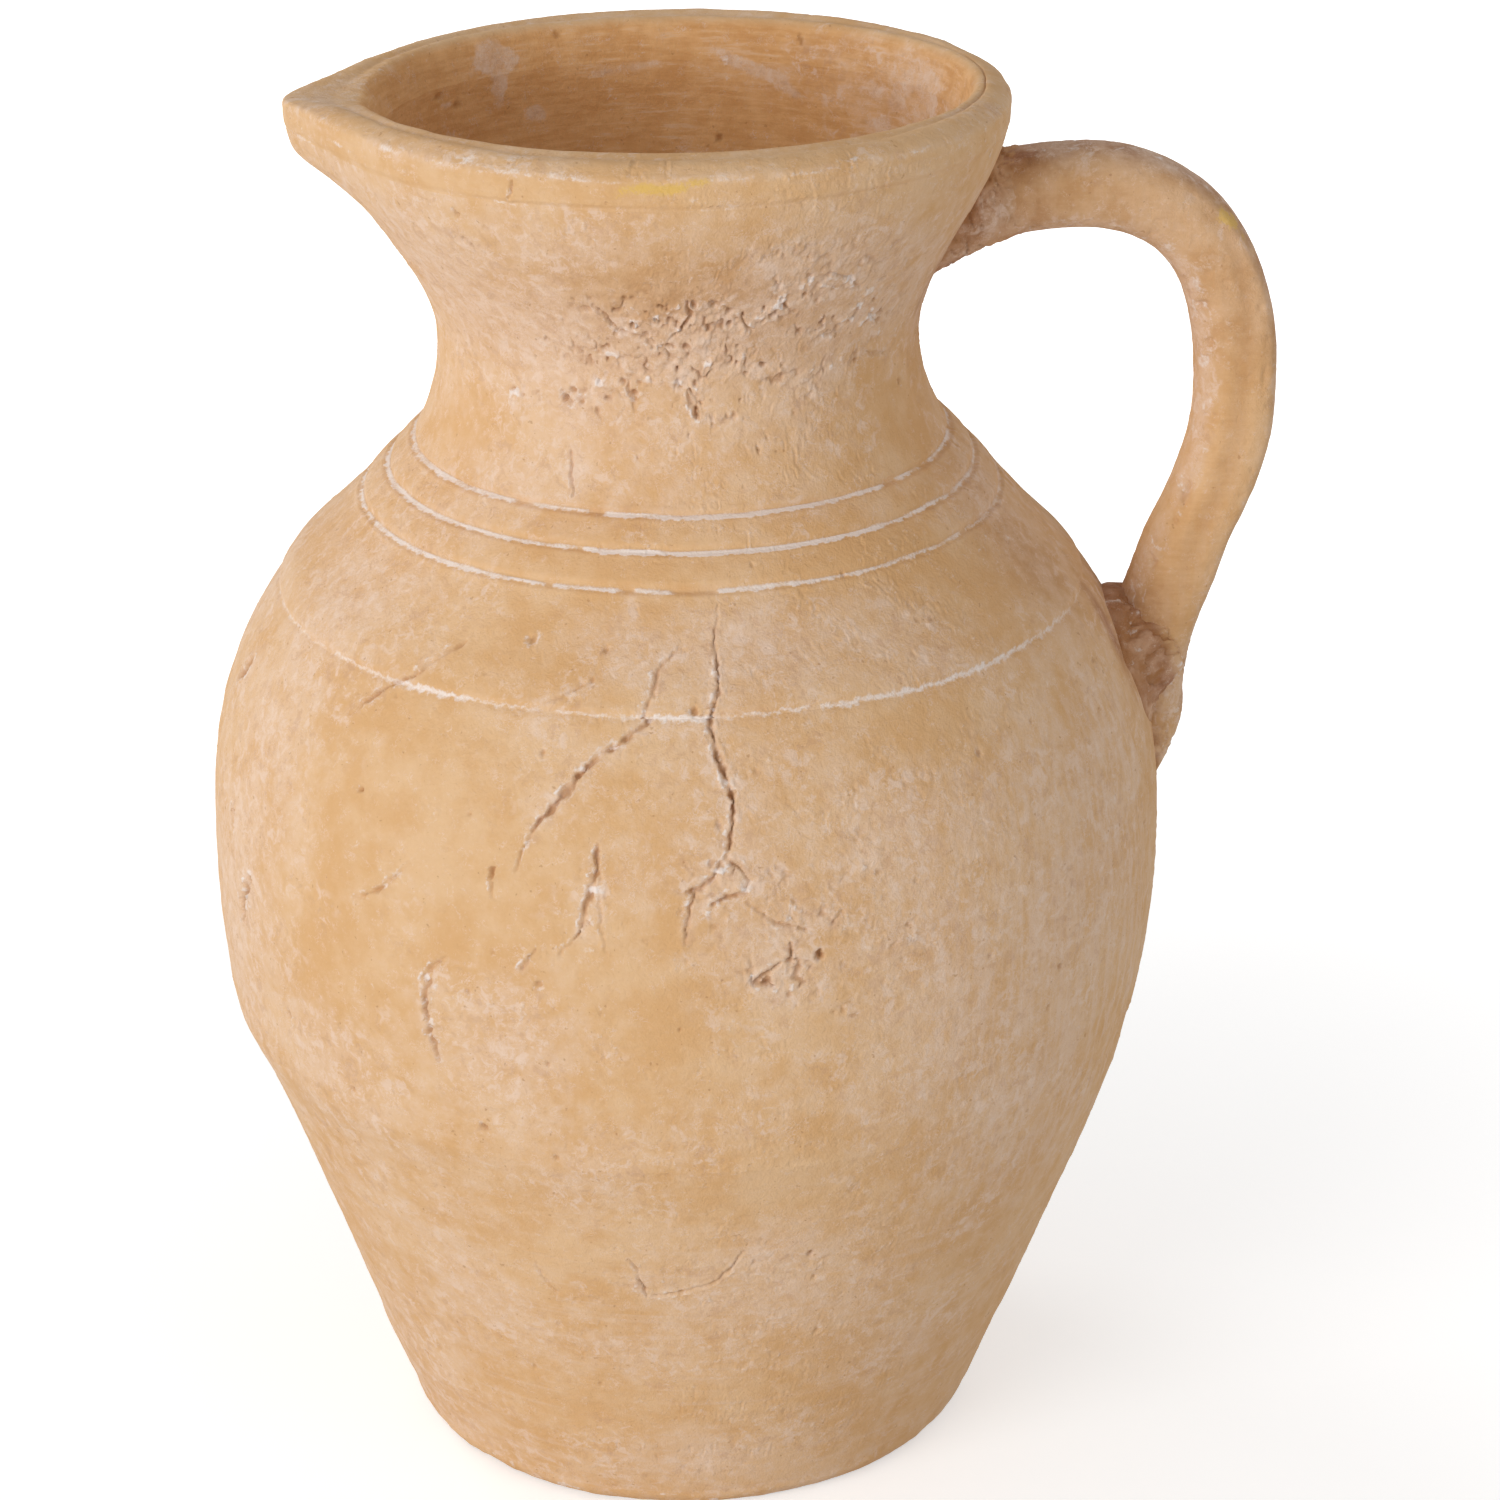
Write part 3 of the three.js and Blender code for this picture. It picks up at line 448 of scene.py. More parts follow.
def ring_marks(turn, z, points, white):
    """The incised rings, shallow grooves filled with lime and with a raised burr beside them, and the shoulder
    line, a scratch with broken lime. The lime goes to white."""
    depth = np.zeros_like(turn)
    azimuth = np.degrees(turned(turn))
    slow, quick = lumps(points, (26, 26, 400), 21), lumps(points, (7, 7, 400), 22)
    crumble = .3 * lumps(points, 1.3, 27) + .22 * lumps(points, .7, 28)
    for number, (height, azimuths, strengths) in enumerate(RINGS):
        strength = np.interp(azimuth, azimuths, strengths, period=360)
        off = z - height - .2 * slow - .12 * quick
        burr = bell(off, -1.0, .45) * (1 + .5 * quick) + .6 * bell(off, 1.1, .45)
        # lime lies against the groove's upper edge, and its lower edge is ragged
        top, bottom = .25 + .12 * quick, -.1 - .7 * strength
        fill = smooth(off + crumble * (1.2 - strength * .4), bottom - .12, bottom + .18) * smooth(top - off, -.14, .12)
        broken = .7 * lumps(points, (5, 5, 400), 23 + number) + .4 * lumps(points, 1.5, 29)
        fill *= smooth(broken + 1.5 * strength, 0, .6)
        depth += .62 * bell(off, .1, .6) * (1 - .6 * fill) - .16 * burr
        white[:] = most(white, fill * unit(.3 + strength * .75 + .25 * lumps(points, 2.2, 30)))
    # the clay bulges between the rings
    lowest, highest = RINGS[-1][0], RINGS[0][0]
    share = unit((z - lowest) / (highest - lowest)) * 2 % 1
    depth -= 2.2 * share * (1 - share)
    strength = np.interp(azimuth, *SHOULDER_LINE, period=360)
    off = z - SHOULDER_SEAM - .25 - .3 * slow - .2 * quick
    depth += .3 * bell(off, 0, .8) - .12 * bell(off, 1.3, .6)
    gaps = smooth(lumps(points, (4, 4, 400), 31) + .6 * lumps(points, 1.6, 32) + 1.4 * strength, 0, .7)
    fill = smooth(.12 + .55 * strength - np.abs(off + 1.5 * crumble), -.35, .4)
    white[:] = most(white, fill * gaps * np.minimum(.85, .1 + .7 * strength))
    return depth


def relief(turn, z):
    """Displacement of the outer surface, and its marks: lime, white and dark (each 0 to 1). The dark is painted shade
    in the cracks, pits and cavities.
    """
    radius, _ = outer_radius(turn, z)
    points = placed(radius, turn, z)
    white = np.zeros_like(turn)
    out = .34 * fractal(points, (34, 34, 30), 2, 1) + .1 * fractal(points, (70, 70, 5), 2, 2)
    out += .07 * lumps(points, (12, 12, 2.2), 3) + .06 * fractal(points, 3.2, 2, 4)
    coarse = fractal(points, 2.3, 3, 43, .65)
    cavities = smooth(-fractal(points, 1.7, 2, 44, .6), .3, .52)
    crumbs = smooth(fractal(points, 2.0, 2, 46, .6), .22, .5)
    crazed = curls(points, 5.0, 48, .1) * smooth(lumps(points, 3.1, 47), -.4, .3)
    # the neck's rough band, and other places where the clay's skin has come away
    rough = np.clip(bumps(turn, z, radius, FLAKED), 0, 1.2) * smooth(fractal(points, (7, 7, 5), 3, 42), -.3, .12)
    out += rough * (.5 * coarse - .6 * crazed - .85 * cavities + .3 * crumbs)
    broken = unit(bumps(turn, z, radius, SCARS)) * smooth(fractal(points, (5, 5, 5), 2, 45), -.25, .25)
    out += broken * (.4 * coarse - .55 * crazed - .5 * cavities + .25 * crumbs)
    # little curled flakes all over, thicker on the right
    many = .17 * band(np.degrees(turned(turn)), -104, -84, -30, 10) + .06 * smooth(z, 228, 240)
    sparse = smooth(fractal(points, (8, 8, 6), 3, 49) + many, .12, .4)
    flakes = sparse * curls(points, 2.6, 53, .2)
    out += .12 * flakes - .16 * sparse * curls(points + .35, 2.6, 53, .2)
    cut = ring_marks(turn, z, points, white)
    cracked, crumbled = crack_depth(turn, z, radius, points, white)
    out += crumbled * (.32 * coarse - .3 * crazed)
    pitted = pit_depth(turn, z, radius, points, white)
    loose = unit(rough + broken + crumbled)
    crusts = loose * most(crumbs, smooth(coarse, .22, .5)) * smooth(lumps(points, 3, 57), -.3, .4)
    white = most(white, .85 * crusts, .36 * flakes * smooth(lumps(points, 1.7, 58), -.2, .5))
    # painted shade: darker with the depth of the cracks and pits, and in the cavities and crazed lines where the skin
    # is rough or broken
    dark = .85 * smooth(most(cracked, pitted), .2, .9)
    dark = most(dark, unit(rough + broken) * most(.8 * cavities, .5 * crazed))
    lime = bumps(turn, z, radius, LIME) - bumps(turn, z, radius, OCHRE) * .8
    lime += .26 * fractal(points, (30, 30, 30), 3, 51) + .3 - .13 * np.cos(turn) + .35 * loose
    return out - cut - cracked - pitted, unit(lime), unit(white), unit(dark)


# Meshes
BOX_GAP = .02
LOW, HIGH = np.array(cad_box[0]) * 1000 + BOX_GAP, np.array(cad_box[1]) * 1000 - BOX_GAP


def shown(name, data):
    """An object put in the scene."""
    made = bpy.data.objects.new(name, data)
    bpy.context.scene.collection.objects.link(made)
    return made


def make_mesh(name, points, faces, marks, tones, chart, crease=None):
    """An object from points in mm, which stray with the wall but stay inside the CAD box, and faces of 3 or 4
    points (padded with -1). Marks and tones are at each point, the chart at each face's corners, and edges along
    a row of one crease number are sharp."""
    mesh = bpy.data.meshes.new(name)
    points[:, 0] += np.interp(points[:, 2], STRAY_HEIGHTS, STRAY)
    corners, loops = (faces >= 0).sum(1), faces[faces >= 0]
    mesh.vertices.add(len(points))
    mesh.vertices.foreach_set("co", (np.clip(points, LOW, HIGH) / 1000).astype(np.float32).ravel())
    mesh.loops.add(len(loops))
    mesh.loops.foreach_set("vertex_index", loops.astype(np.int32))
    mesh.polygons.add(len(faces))
    mesh.polygons.foreach_set("loop_start", np.concatenate([[0], np.cumsum(corners)[:-1]]).astype(np.int32))
    mesh.update(calc_edges=True)
    for key, values in (("marks", marks), ("tones", tones)):
        layer = mesh.color_attributes.new(key, "FLOAT_COLOR", "POINT")
        layer.data.foreach_set("color", values.astype(np.float32).ravel())
    layer = mesh.uv_layers.new(name="OFBake")
    layer.data.foreach_set("uv", chart.astype(np.float32).ravel())
    mesh.shade_smooth()
    if crease is not None:
        ends = np.zeros(len(mesh.edges) * 2, np.int32)
        mesh.edges.foreach_get("vertices", ends)
        first, second = crease[ends[::2]], crease[ends[1::2]]
        attribute = mesh.attributes.new("sharp_edge", "BOOLEAN", "EDGE")
        attribute.data.foreach_set("value", (first > 0) & (first == second))
    return shown(name, mesh)


def grid_faces(count, columns, closed=False):
    """Faces and chart places (row, column) of a grid of points whose columns go round."""
    i, j = np.meshgrid(np.arange(count if closed else count - 1), np.arange(columns), indexing="ij")
    i2, j2 = (i + 1) % count, (j + 1) % columns
    faces = together(i * columns + j, i * columns + j2, i2 * columns + j2, i2 * columns + j)
    places = np.stack([together(i + a, j + b) for a, b in ((0, 0), (0, 1), (1, 1), (1, 0))], 2)
    return faces.reshape(-1, 4), places.reshape(-1, 2)


def capped_mesh(name, points, ends, marks, tones, v, columns, crease=None):
    """A piece made of a grid of points that is closed to one more point at each end. Its rows lie at v in the
    chart."""
    rows = len(points) // columns
    u, column = np.linspace(0, 1, columns + 1), np.arange(columns)
    beside = (column + 1) % columns
    quads, places = grid_faces(rows, columns)
    faces, chart = [quads], [together(u[places[:, 1]], v[places[:, 0]])]
    for end, row, one, two, left, right in ((0, 0, beside, column, u[1:], u[:-1]),
                                            (1, rows - 1, column, beside, u[:-1], u[1:])):
        faces.append(together(len(points) + end, row * columns + one, row * columns + two, -1))
        corners = together((left + right) / 2, end), together(left, v[row]), together(right, v[row])
        chart.append(np.stack(corners, 1).reshape(-1, 2))
    marks, tones = (np.concatenate([each, each[:1], each[-1:]]) for each in (marks, tones))
    points = np.concatenate([points, ends])
    return make_mesh(name, points, np.concatenate(faces), marks, tones, np.concatenate(chart), crease)


class Skin:
    """The closed skin of a turned piece, built row by row. Every row has one point for each of TURNS."""

    def __init__(self):
        self.points, self.marks, self.tones, self.creases = [], [], [], []

    def add(self, radius, height, marks=(0, 0, 0, 0), tone=(0, 0, 0, 0), crease=()):
        """One or more rows. The rows numbered in crease are sharp edges."""
        radius, height = np.atleast_2d(radius), np.atleast_2d(height)
        shape = (max(len(radius), len(height)), len(TURNS))
        self.points.append(placed(np.broadcast_to(radius, shape), TURNS, height))
        for kept, values in ((self.marks, marks), (self.tones, tone)):
            kept.append(np.broadcast_to(values, (*shape, 4)))
        self.creases += [i in crease or i - shape[0] in crease for i in range(shape[0])]

    def build(self, name, closed=True):
        points, marks, tones = (np.concatenate(each) for each in (self.points, self.marks, self.tones))
        count, columns = len(points), len(TURNS)
        step = np.linalg.norm(np.diff(points, axis=0, append=points[:1]), axis=-1).mean(1)
        v = .02 + .96 * np.concatenate([[0], np.cumsum(step)]) / step.sum()
        points, marks, tones = points.reshape(-1, 3), marks.reshape(-1, 4), tones.reshape(-1, 4)
        crease = np.repeat(np.where(self.creases, np.arange(1, count + 1), 0), columns)
        if closed:
            faces, places = grid_faces(count, columns, closed)
            chart = together(np.linspace(0, 1, columns + 1)[places[:, 1]], v[places[:, 0]])
            return make_mesh(name, points, faces, marks, tones, chart, crease)
        ends = np.stack([points[:columns].mean(0), points[-columns:].mean(0)])
        return capped_mesh(name, points, ends, marks, tones, v, columns, np.concatenate([crease, [0, 0]]))


def surface(heights):
    """The turn and height of every point in rows at some heights, and the shape of those rows."""
    shape = (len(heights), len(TURNS))
    return np.broadcast_to(TURNS, shape).ravel(), np.broadcast_to(heights[:, None], shape).ravel(), shape


def outer_rows(skin, low, high, still_below=0):
    """The outer surface between two heights, with its relief."""
    turn, z, shape = surface(spread(low, high, ROW_SPACING))
    radius, lean = outer_radius(turn, z)
    out, lime, white, dark = relief(turn, z)
    out = out * smooth(z, still_below, still_below + 5) if still_below else out
    tilt = np.hypot(1, lean)
    azimuth = np.degrees(turned(turn))
    brush = most(band(azimuth, -72, -52, -24, -8) * band(z, 60, 90, 178, 192),
                 .6 * band(azimuth, 60, 90, 130, 160) * band(z, 40, 90, 170, 190))
    marks = together(lime, white, dark, unit(bumps(turn, z, radius, STAINS)))
    tone = together(0, unit(bumps(turn, z, radius, REDDISH)), brush, .8 * smooth(110 - z, 0, 50))
    skin.add((radius + out / tilt).reshape(shape), (z - lean * out / tilt).reshape(shape),
             marks.reshape(*shape, 4), tone.reshape(*shape, 4), (-1,) if still_below else (0, -1))


def inner_push(points):
    relief_inside = .3 * fractal(points, (40, 40, 14), 2, 61) + .12 * lumps(points, (90, 90, 2.6), 62)
    return relief_inside + .05 * fractal(points, 3, 2, 63)


def inner_tone(z):
    """The inside is browner than the outside, from just under the crest."""
    return smooth(CREST - z, 0, 2)


def inner_marks(turn, z, radius, points):
    ragged = fractal(points, (9, 9, 4), 3, 64)
    lime = smooth(bumps(turn, z, radius, INNER_LIME) + .45 * ragged, .35, .75) + .25 * smooth(ragged, .1, .5)
    lime += bumps(turn, z, radius, INNER_BLOOM)
    # painted shade in the pits of the inside, which are also pushed into the wall
    dark = smooth(bumps(turn, z, radius, INNER_PITS) + .35 * lumps(points, 1.6, 65), .35, .8)
    return unit(lime), .5 * smooth(fractal(points, 3, 3, 66), .42, .7), dark


def inner_rows(skin, high, low):
    """The inner surface from a height down to another."""
    turn, z, shape = surface(spread(low, high, INNER_SPACING)[::-1])
    radius = inner_radius(turn, z)
    points = placed(radius, turn, z)
    lime, white, dark = inner_marks(turn, z, radius, points)
    marks, tone = together(lime, white, dark, 0), together(inner_tone(z), 0, 0, 0)
    skin.add((radius + inner_push(points) + .8 * dark).reshape(shape), z.reshape(shape),
             marks.reshape(*shape, 4), tone.reshape(*shape, 4), (0, -1))


def wall_section(low, high):
    """A builder of the wall between two heights."""
    def build(name):
        skin = Skin()
        outer_rows(skin, low, high)
        inner_rows(skin, high, low)
        return skin.build(name)
    return build


def foot_section(name):
    """The flank with its rounded foot, from the slab's edge round to the slab's edge again."""
    skin = Skin()
    slab, edge = FOOT_RADIUS - WALL + .3, FOOT_RADIUS - FOOT_EDGE
    skin.add(slab, 0, crease=(0,))
    skin.add(np.linspace(slab, edge, 6)[1:, None], 0)
    angle = np.linspace(-np.pi / 2, 0, 13)[:-1, None]
    radius, height = np.broadcast_arrays(edge + FOOT_EDGE * np.cos(angle), FOOT_EDGE * (1 + np.sin(angle)), TURNS)[:2]
    points = placed(radius, TURNS, height).reshape(-1, 3)
    worn = (.3 * lumps(points, 7, 71) + .25 * lumps(points, 2.4, 72) - .35).reshape(radius.shape)
    worn = worn * np.sin(np.linspace(0, np.pi, 12))[:, None]
    marks = together(unit(.3 + .5 * fractal(points, 6, 2, 73)), .6 * smooth(fractal(points, 3, 2, 74), .35, .6), 0, 0)
    skin.add(radius + worn, height, marks.reshape(*radius.shape, 4))
    outer_rows(skin, FOOT_EDGE, TURN_SEAM, still_below=FOOT_EDGE - 1)
    inner_rows(skin, TURN_SEAM, FLOOR)
    skin.add(slab, FLOOR, tone=(1, 0, 0, 0), crease=(0,))
    return skin.build(name)


def floor_slab(name):
    skin = Skin()
    radius = FOOT_RADIUS - WALL + .35
    skin.add(np.linspace(2, radius, 40)[:, None], 0, crease=(-1,))
    top = np.linspace(radius, 2, 60)[:, None] + 0 * TURNS
    points = placed(top, TURNS, FLOOR).reshape(-1, 3)
    height = FLOOR - .4 + .4 * fractal(points, 16, 3, 75).reshape(top.shape) + .15 * np.sin(top * 1.1)
    skin.add(top, height, tone=(1, 0, 0, 0), crease=(0,))
    return skin.build(name, closed=False)


def rounded(outline, cut):
    """The corners of an open outline (points, columns, 2) rounded off, each over a length cut to either side."""
    made = [outline[:1]]
    for before, corner, after, reach in zip(outline, outline[1:], outline[2:], cut):
        first, last = (corner + into * np.minimum(.5, reach / np.linalg.norm(into, axis=-1, keepdims=True))
                       for into in (before - corner, after - corner))
        t = np.linspace(0, 1, 6)[:, None, None]
        made.append((1 - t) ** 2 * first + 2 * t * (1 - t) * corner + t * t * last)
    return np.concatenate([*made, outline[-1:]])


def evenly(outline, gap):
    """The outline with points added along it, so that none lie more than gap apart."""
    made = [outline[:1]]
    for a, b in zip(outline, outline[1:]):
        steps = max(1, int(np.ceil(np.linalg.norm(b - a, axis=-1).max() / gap)))
        made.append(a + (b - a) * (np.arange(1, steps + 1) / steps)[:, None, None])
    return np.concatenate(made)


def lip_section(name):
    """The rim: a stepped, slightly swollen face, a bevel, a level crest and a rounded edge round the mouth."""
    seam = np.full_like(TURNS, LIP_SEAM)
    foot, _ = outer_radius(TURNS, seam)
    inner = inner_radius(TURNS, seam)
    inner = inner + inner_push(placed(inner, TURNS, seam))
    around = placed(70, TURNS, seam)
    channel = CHANNEL_DEPTH * fold(TURNS)
    face = foot + LIP_SWELL - .1 + .3 * lumps(around, 12, 83)
    bore = mouth(TURNS) + .4 * lumps(around, 9, 81) + .25 * lumps(around, 4, 82)
    top = CREST - channel - .1 - .15 * np.abs(lumps(around, 15, 84))
    brow = top - LIP_BEVEL_DROP + .3 + channel + .25 * lumps(around, 7, 79)
    head = most(bore + 2 * MOUTH_ROUNDING, face - LIP_TOP_WIDTH + .5 * lumps(around, 10, 85))
    low_top = top - channel / 2
    corners = ((foot, seam), (foot + .1, seam + .5), (face, seam + 1.4), (face + .1, brow), (head, top),
               (bore + MOUTH_ROUNDING, low_top), (bore - .1, low_top - 1.4 * MOUTH_ROUNDING), (inner, seam))
    outline = evenly(rounded(np.array([together(*corner) for corner in corners]), (.2, .45, 1.3, 1.5, 1.1, 1.8)), .36)
    across = np.gradient(outline, axis=0)
    normal = together(across[..., 1], -across[..., 0])
    normal /= np.linalg.norm(normal, axis=-1, keepdims=True)
    slope = STATIONS[-1][2]
    normal[0] = np.array((1, -slope)) / np.hypot(1, slope)

    shape = outline.shape[:2]
    radius, z = outline.reshape(-1, 2).T
    turn = np.broadcast_to(TURNS, shape).ravel()
    share = np.broadcast_to(np.linspace(0, 1, shape[0])[:, None], shape).ravel()
    points = placed(radius, turn, z)
    out, _, white, dark = relief(turn, most(z, LIP_SEAM))
    worn = .14 * fractal(points, (12, 12, 3), 3, 86) + .08 * fractal(points, 1.6, 3, 87) - .05
    worn += .09 * lumps(points, (40, 40, 1.3), 80)
    # the crest is a little hollow, so that a bead runs round the mouth
    worn -= .5 * bell(share, .56, .07) * (.8 + .5 * lumps(points, 14, 76))
    outside, inside = 1 - smooth(share, .42, .55), smooth(share, .66, .74)
    out = out * outside + worn * (1 - inside)
    out[:len(TURNS)] = relief(TURNS, seam)[0]
    out[-len(TURNS):] = 0
    moved = outline + normal * out.reshape(shape)[..., None]

    # lime lies in streaks along the brow and under the step
    edge = smooth(fractal(points, (7, 7, .9), 3, 88) + .25 * lumps(points, .9, 78), .12, .5)
    crest = bell(z, np.broadcast_to(brow, shape).ravel(), .9) * (1 - smooth(share, .5, .62))
    step = bell(z, LIP_SEAM + .3, .7) * outside
    scuffs = .9 * bumps(turn, z, radius, LIP_SCUFFS) * smooth(fractal(points, (4, 4, 1), 3, 89), -.2, .25)
    white = most(white * outside, .5 * edge * unit(crest + step), scuffs)
    far = smooth(np.abs(turn), 2.5, 3.1) * smooth(z, CREST - 3, CREST)
    lime = unit(.3 + .45 * fractal(points, (20, 20, 3), 3, 90) + .3 * far + .3 * crest - .15 * outside)
    inner_lime, inner_white, inner_dark = inner_marks(turn, z, radius, points)
    marks = together(lime + inside * (inner_lime - lime),
                     unit(most(white * (1 - inside), inner_white * inside)),
                     most(dark * outside, inner_dark * inside),
                     unit(bumps(turn, z, radius, STAINS) * outside))
    grey = smooth(np.abs(turn), 2.55, 2.95) * smooth(z, CREST - 4, CREST - 2)
    tone = together(inner_tone(z) * inside, 0, 0, .8 * grey + .5 * outside)
    skin = Skin()
    skin.add(moved[..., 0], moved[..., 1], marks.reshape(*shape, 4), tone.reshape(*shape, 4), (0, -1))
    return skin.build(name)


# The handle's middle line: cubic curves through the root, the crown, the grip and the landing, then down to the tip
ROOT, CROWN, GRIP = (46.1, 271.0), (82.5, 277.0), (116.25, 236.2)
TAIL_HEAD, TAIL_TIP = 166.5, 145.5
HANDLE_THICKNESS, HANDLE_WIDTH, TAIL = 17.7, 19.5, 21.0
HANDLE_START, COLLAR_END = 6.0, 30.0
# How deep under the wall's face the buried ends may reach, and how far they stay from its inside
BURIED, LEFT_OVER = 2.5, 1.5


def curve_points(*control):
    t = np.linspace(0, 1, 400)[:, None]
    p = np.array(control, float)
    return (1 - t)**3 * p[0] + 3 * (1 - t)**2 * t * p[1] + 3 * (1 - t) * t * t * p[2] + t**3 * p[3]


def middle_line():
    head, tip = (float(wall(np.array([z]))[0][0]) for z in (TAIL_HEAD, TAIL_TIP))
    run, fall = (CROWN[0] - ROOT[0]) / 3, GRIP[1] - TAIL_HEAD
    over = CROWN[0] + .64 * (GRIP[0] - CROWN[0]), GRIP[1] + .64 * (CROWN[1] - GRIP[1])
    line = np.concatenate([
        curve_points(ROOT, (ROOT[0] + run, (ROOT[1] + CROWN[1]) / 2), (CROWN[0] - run, CROWN[1]), CROWN),
        curve_points(CROWN, (over[0], CROWN[1]), (GRIP[0], over[1]), GRIP)[1:],
        curve_points(GRIP, (GRIP[0], GRIP[1] - .42 * fall), (head, TAIL_HEAD + .34 * fall), (head, TAIL_HEAD))[1:],
        np.linspace((head, TAIL_HEAD), (tip, TAIL_TIP), 100)[1:],
    ])
    return line, np.concatenate([[0], np.cumsum(np.linalg.norm(np.diff(line, axis=0), axis=1))])


LINE, REACH = middle_line()
LENGTH = REACH[-1]


def along(reach):
    """Points of the middle line at distances from the root."""
    return np.stack([np.interp(reach, REACH, LINE[:, k]) for k in (0, 1)], 1)


def keep_in_clay(points):
    """Keeps the ends of the handle from coming out inside the pot."""
    turn, radius = polar(points)
    least = most(outer_radius(turn, points[:, 2])[0] - BURIED, inner_radius(turn, points[:, 2]) + LEFT_OVER)
    points[:, :2] *= most(1, least / most(radius, 1e-6))[:, None]
    return points


def swept(name, start, end, rings, sides, size_at, push_at, marks_at):
    """A rounded strap swept along the middle line. The functions take each point, its reach along the line and
    its side, in degrees away from the strap's top."""
    reach = np.linspace(start, end, rings)
    x, z = along(reach).T
    tangent = along(reach + 6) - along(reach - 6)
    tangent /= np.linalg.norm(tangent, axis=1)[:, None]
    outward = np.stack([-tangent[:, 1], tangent[:, 0]], 1)
    thick, wide = size_at(reach)
    angle = 2 * np.pi * (np.arange(sides) + .5) / sides
    cos, sin = (np.sign(v) * np.abs(v) ** (2 / 2.5) for v in (np.cos(angle), np.sin(angle)))
    a, b = thick[:, None] / 2 * cos, wide[:, None] / 2 * sin
    flat = together(x[:, None] + outward[:, :1] * a, b, z[:, None] + outward[:, 1:] * a).reshape(-1, 3)
    away = together(outward[:, :1] * cos, sin, outward[:, 1:] * cos)
    away /= np.linalg.norm(away, axis=-1, keepdims=True)
    reaches, side = (v.ravel() for v in np.broadcast_arrays(reach[:, None], np.abs(np.degrees(turned(angle)))))
    push = push_at(flat, reaches, side)
    flat = flat + away.reshape(-1, 3) * push[:, None]
    marks, tone = marks_at(flat, reaches, side, push)
    flat = keep_in_clay(flat)
    ends = keep_in_clay(np.stack([flat[:sides].mean(0), flat[-sides:].mean(0)]))
    return capped_mesh(name, flat, ends, marks, tone, np.linspace(.03, .97, rings), sides)


def strap_size(reach):
    left = np.cos(np.pi / 2 * unit((reach - LENGTH + TAIL) / TAIL))
    return most(HANDLE_THICKNESS * left, .7), most(HANDLE_WIDTH * np.sqrt(most(left, 0)), 6)


def side_valley(side, reach):
    """A soft valley along each side of the handle, between two facets."""
    return bell(side, 52 + 38 * smooth(reach, 46, 105), 15) * band(reach, 40, 80, LENGTH - 60, LENGTH - 36)


def tail_share(points, reach):
    return smooth(reach + 3 * lumps(points, 5, 118), LENGTH - 40, LENGTH - 30)


def handle_push(points, reach, side):
    """Relief of the handle: hand-drawn facets, a soft ridge on each side of the top, and nicks along the inner edge."""
    push = .35 * fractal(points, (20, 16, 20), 2, 91) + .12 * fractal(points, 5, 3, 92)
    push += .07 * fractal(points, 1.3, 2, 93) - .35
    push += .6 * bell(side, 46, 13) * band(reach, 40, 80, LENGTH - 50, LENGTH - 25)
    push -= .35 * bell(side, 0, 22) * smooth(reach, 40, 80) + .6 * side_valley(side, reach)
    push -= .8 * bell(side, 135, 14) * smooth(lumps(points, 4, 94) + .5 * lumps(points, 1.6, 95), .35, .75)
    push -= .3 * smooth(-fractal(points, 1.8, 2, 96), .35, .65)
    foot = band(reach, LENGTH - 50, LENGTH - 34, LENGTH - 20, LENGTH - 10) * smooth(side, 60, 110)
    tail = .8 * tail_share(points, reach) * (1 - smooth(reach, LENGTH - 8, LENGTH - 2))
    rough_end = most(.6 * (1 - smooth(reach, 14, 34)), tail, foot)
    return push + rough_end * (.35 * fractal(points, 3.2, 3, 97, .65) - .35 * curls(points, 3, 98, .18) + .1)


def spot(points, centre, size):
    return np.exp(-(((points - centre) / size) ** 2).sum(1))


def notch_shade(points):
    """Painted shade in the hollow where the top of the handle meets the pot under the lip."""
    return .75 * spot(points, (68.5, -6, 283), (3.5, 8, 4)) * smooth(lumps(points, 1.8, 109), -.7, .2)


def crevice_shade(points):
    """Painted shade: a dark, broken line along the wall's face where clay was pressed against it."""
    turn, radius = polar(points)
    return .85 * bell(radius, outer_radius(turn, points[:, 2])[0], 2) * smooth(lumps(points, 2.6, 116), -.6, .3)


# The yellow stain on the handle: X, Y, Z and size of its spots
HANDLE_STAIN = ((111.5, -6, 271.5, 1.6), (113.4, -5, 269.5, 1.8), (115.0, -4.6, 266.5, 1.3), (117.2, -4, 263.6, 1.4),
                (112.4, -5.6, 270.6, 1.3))


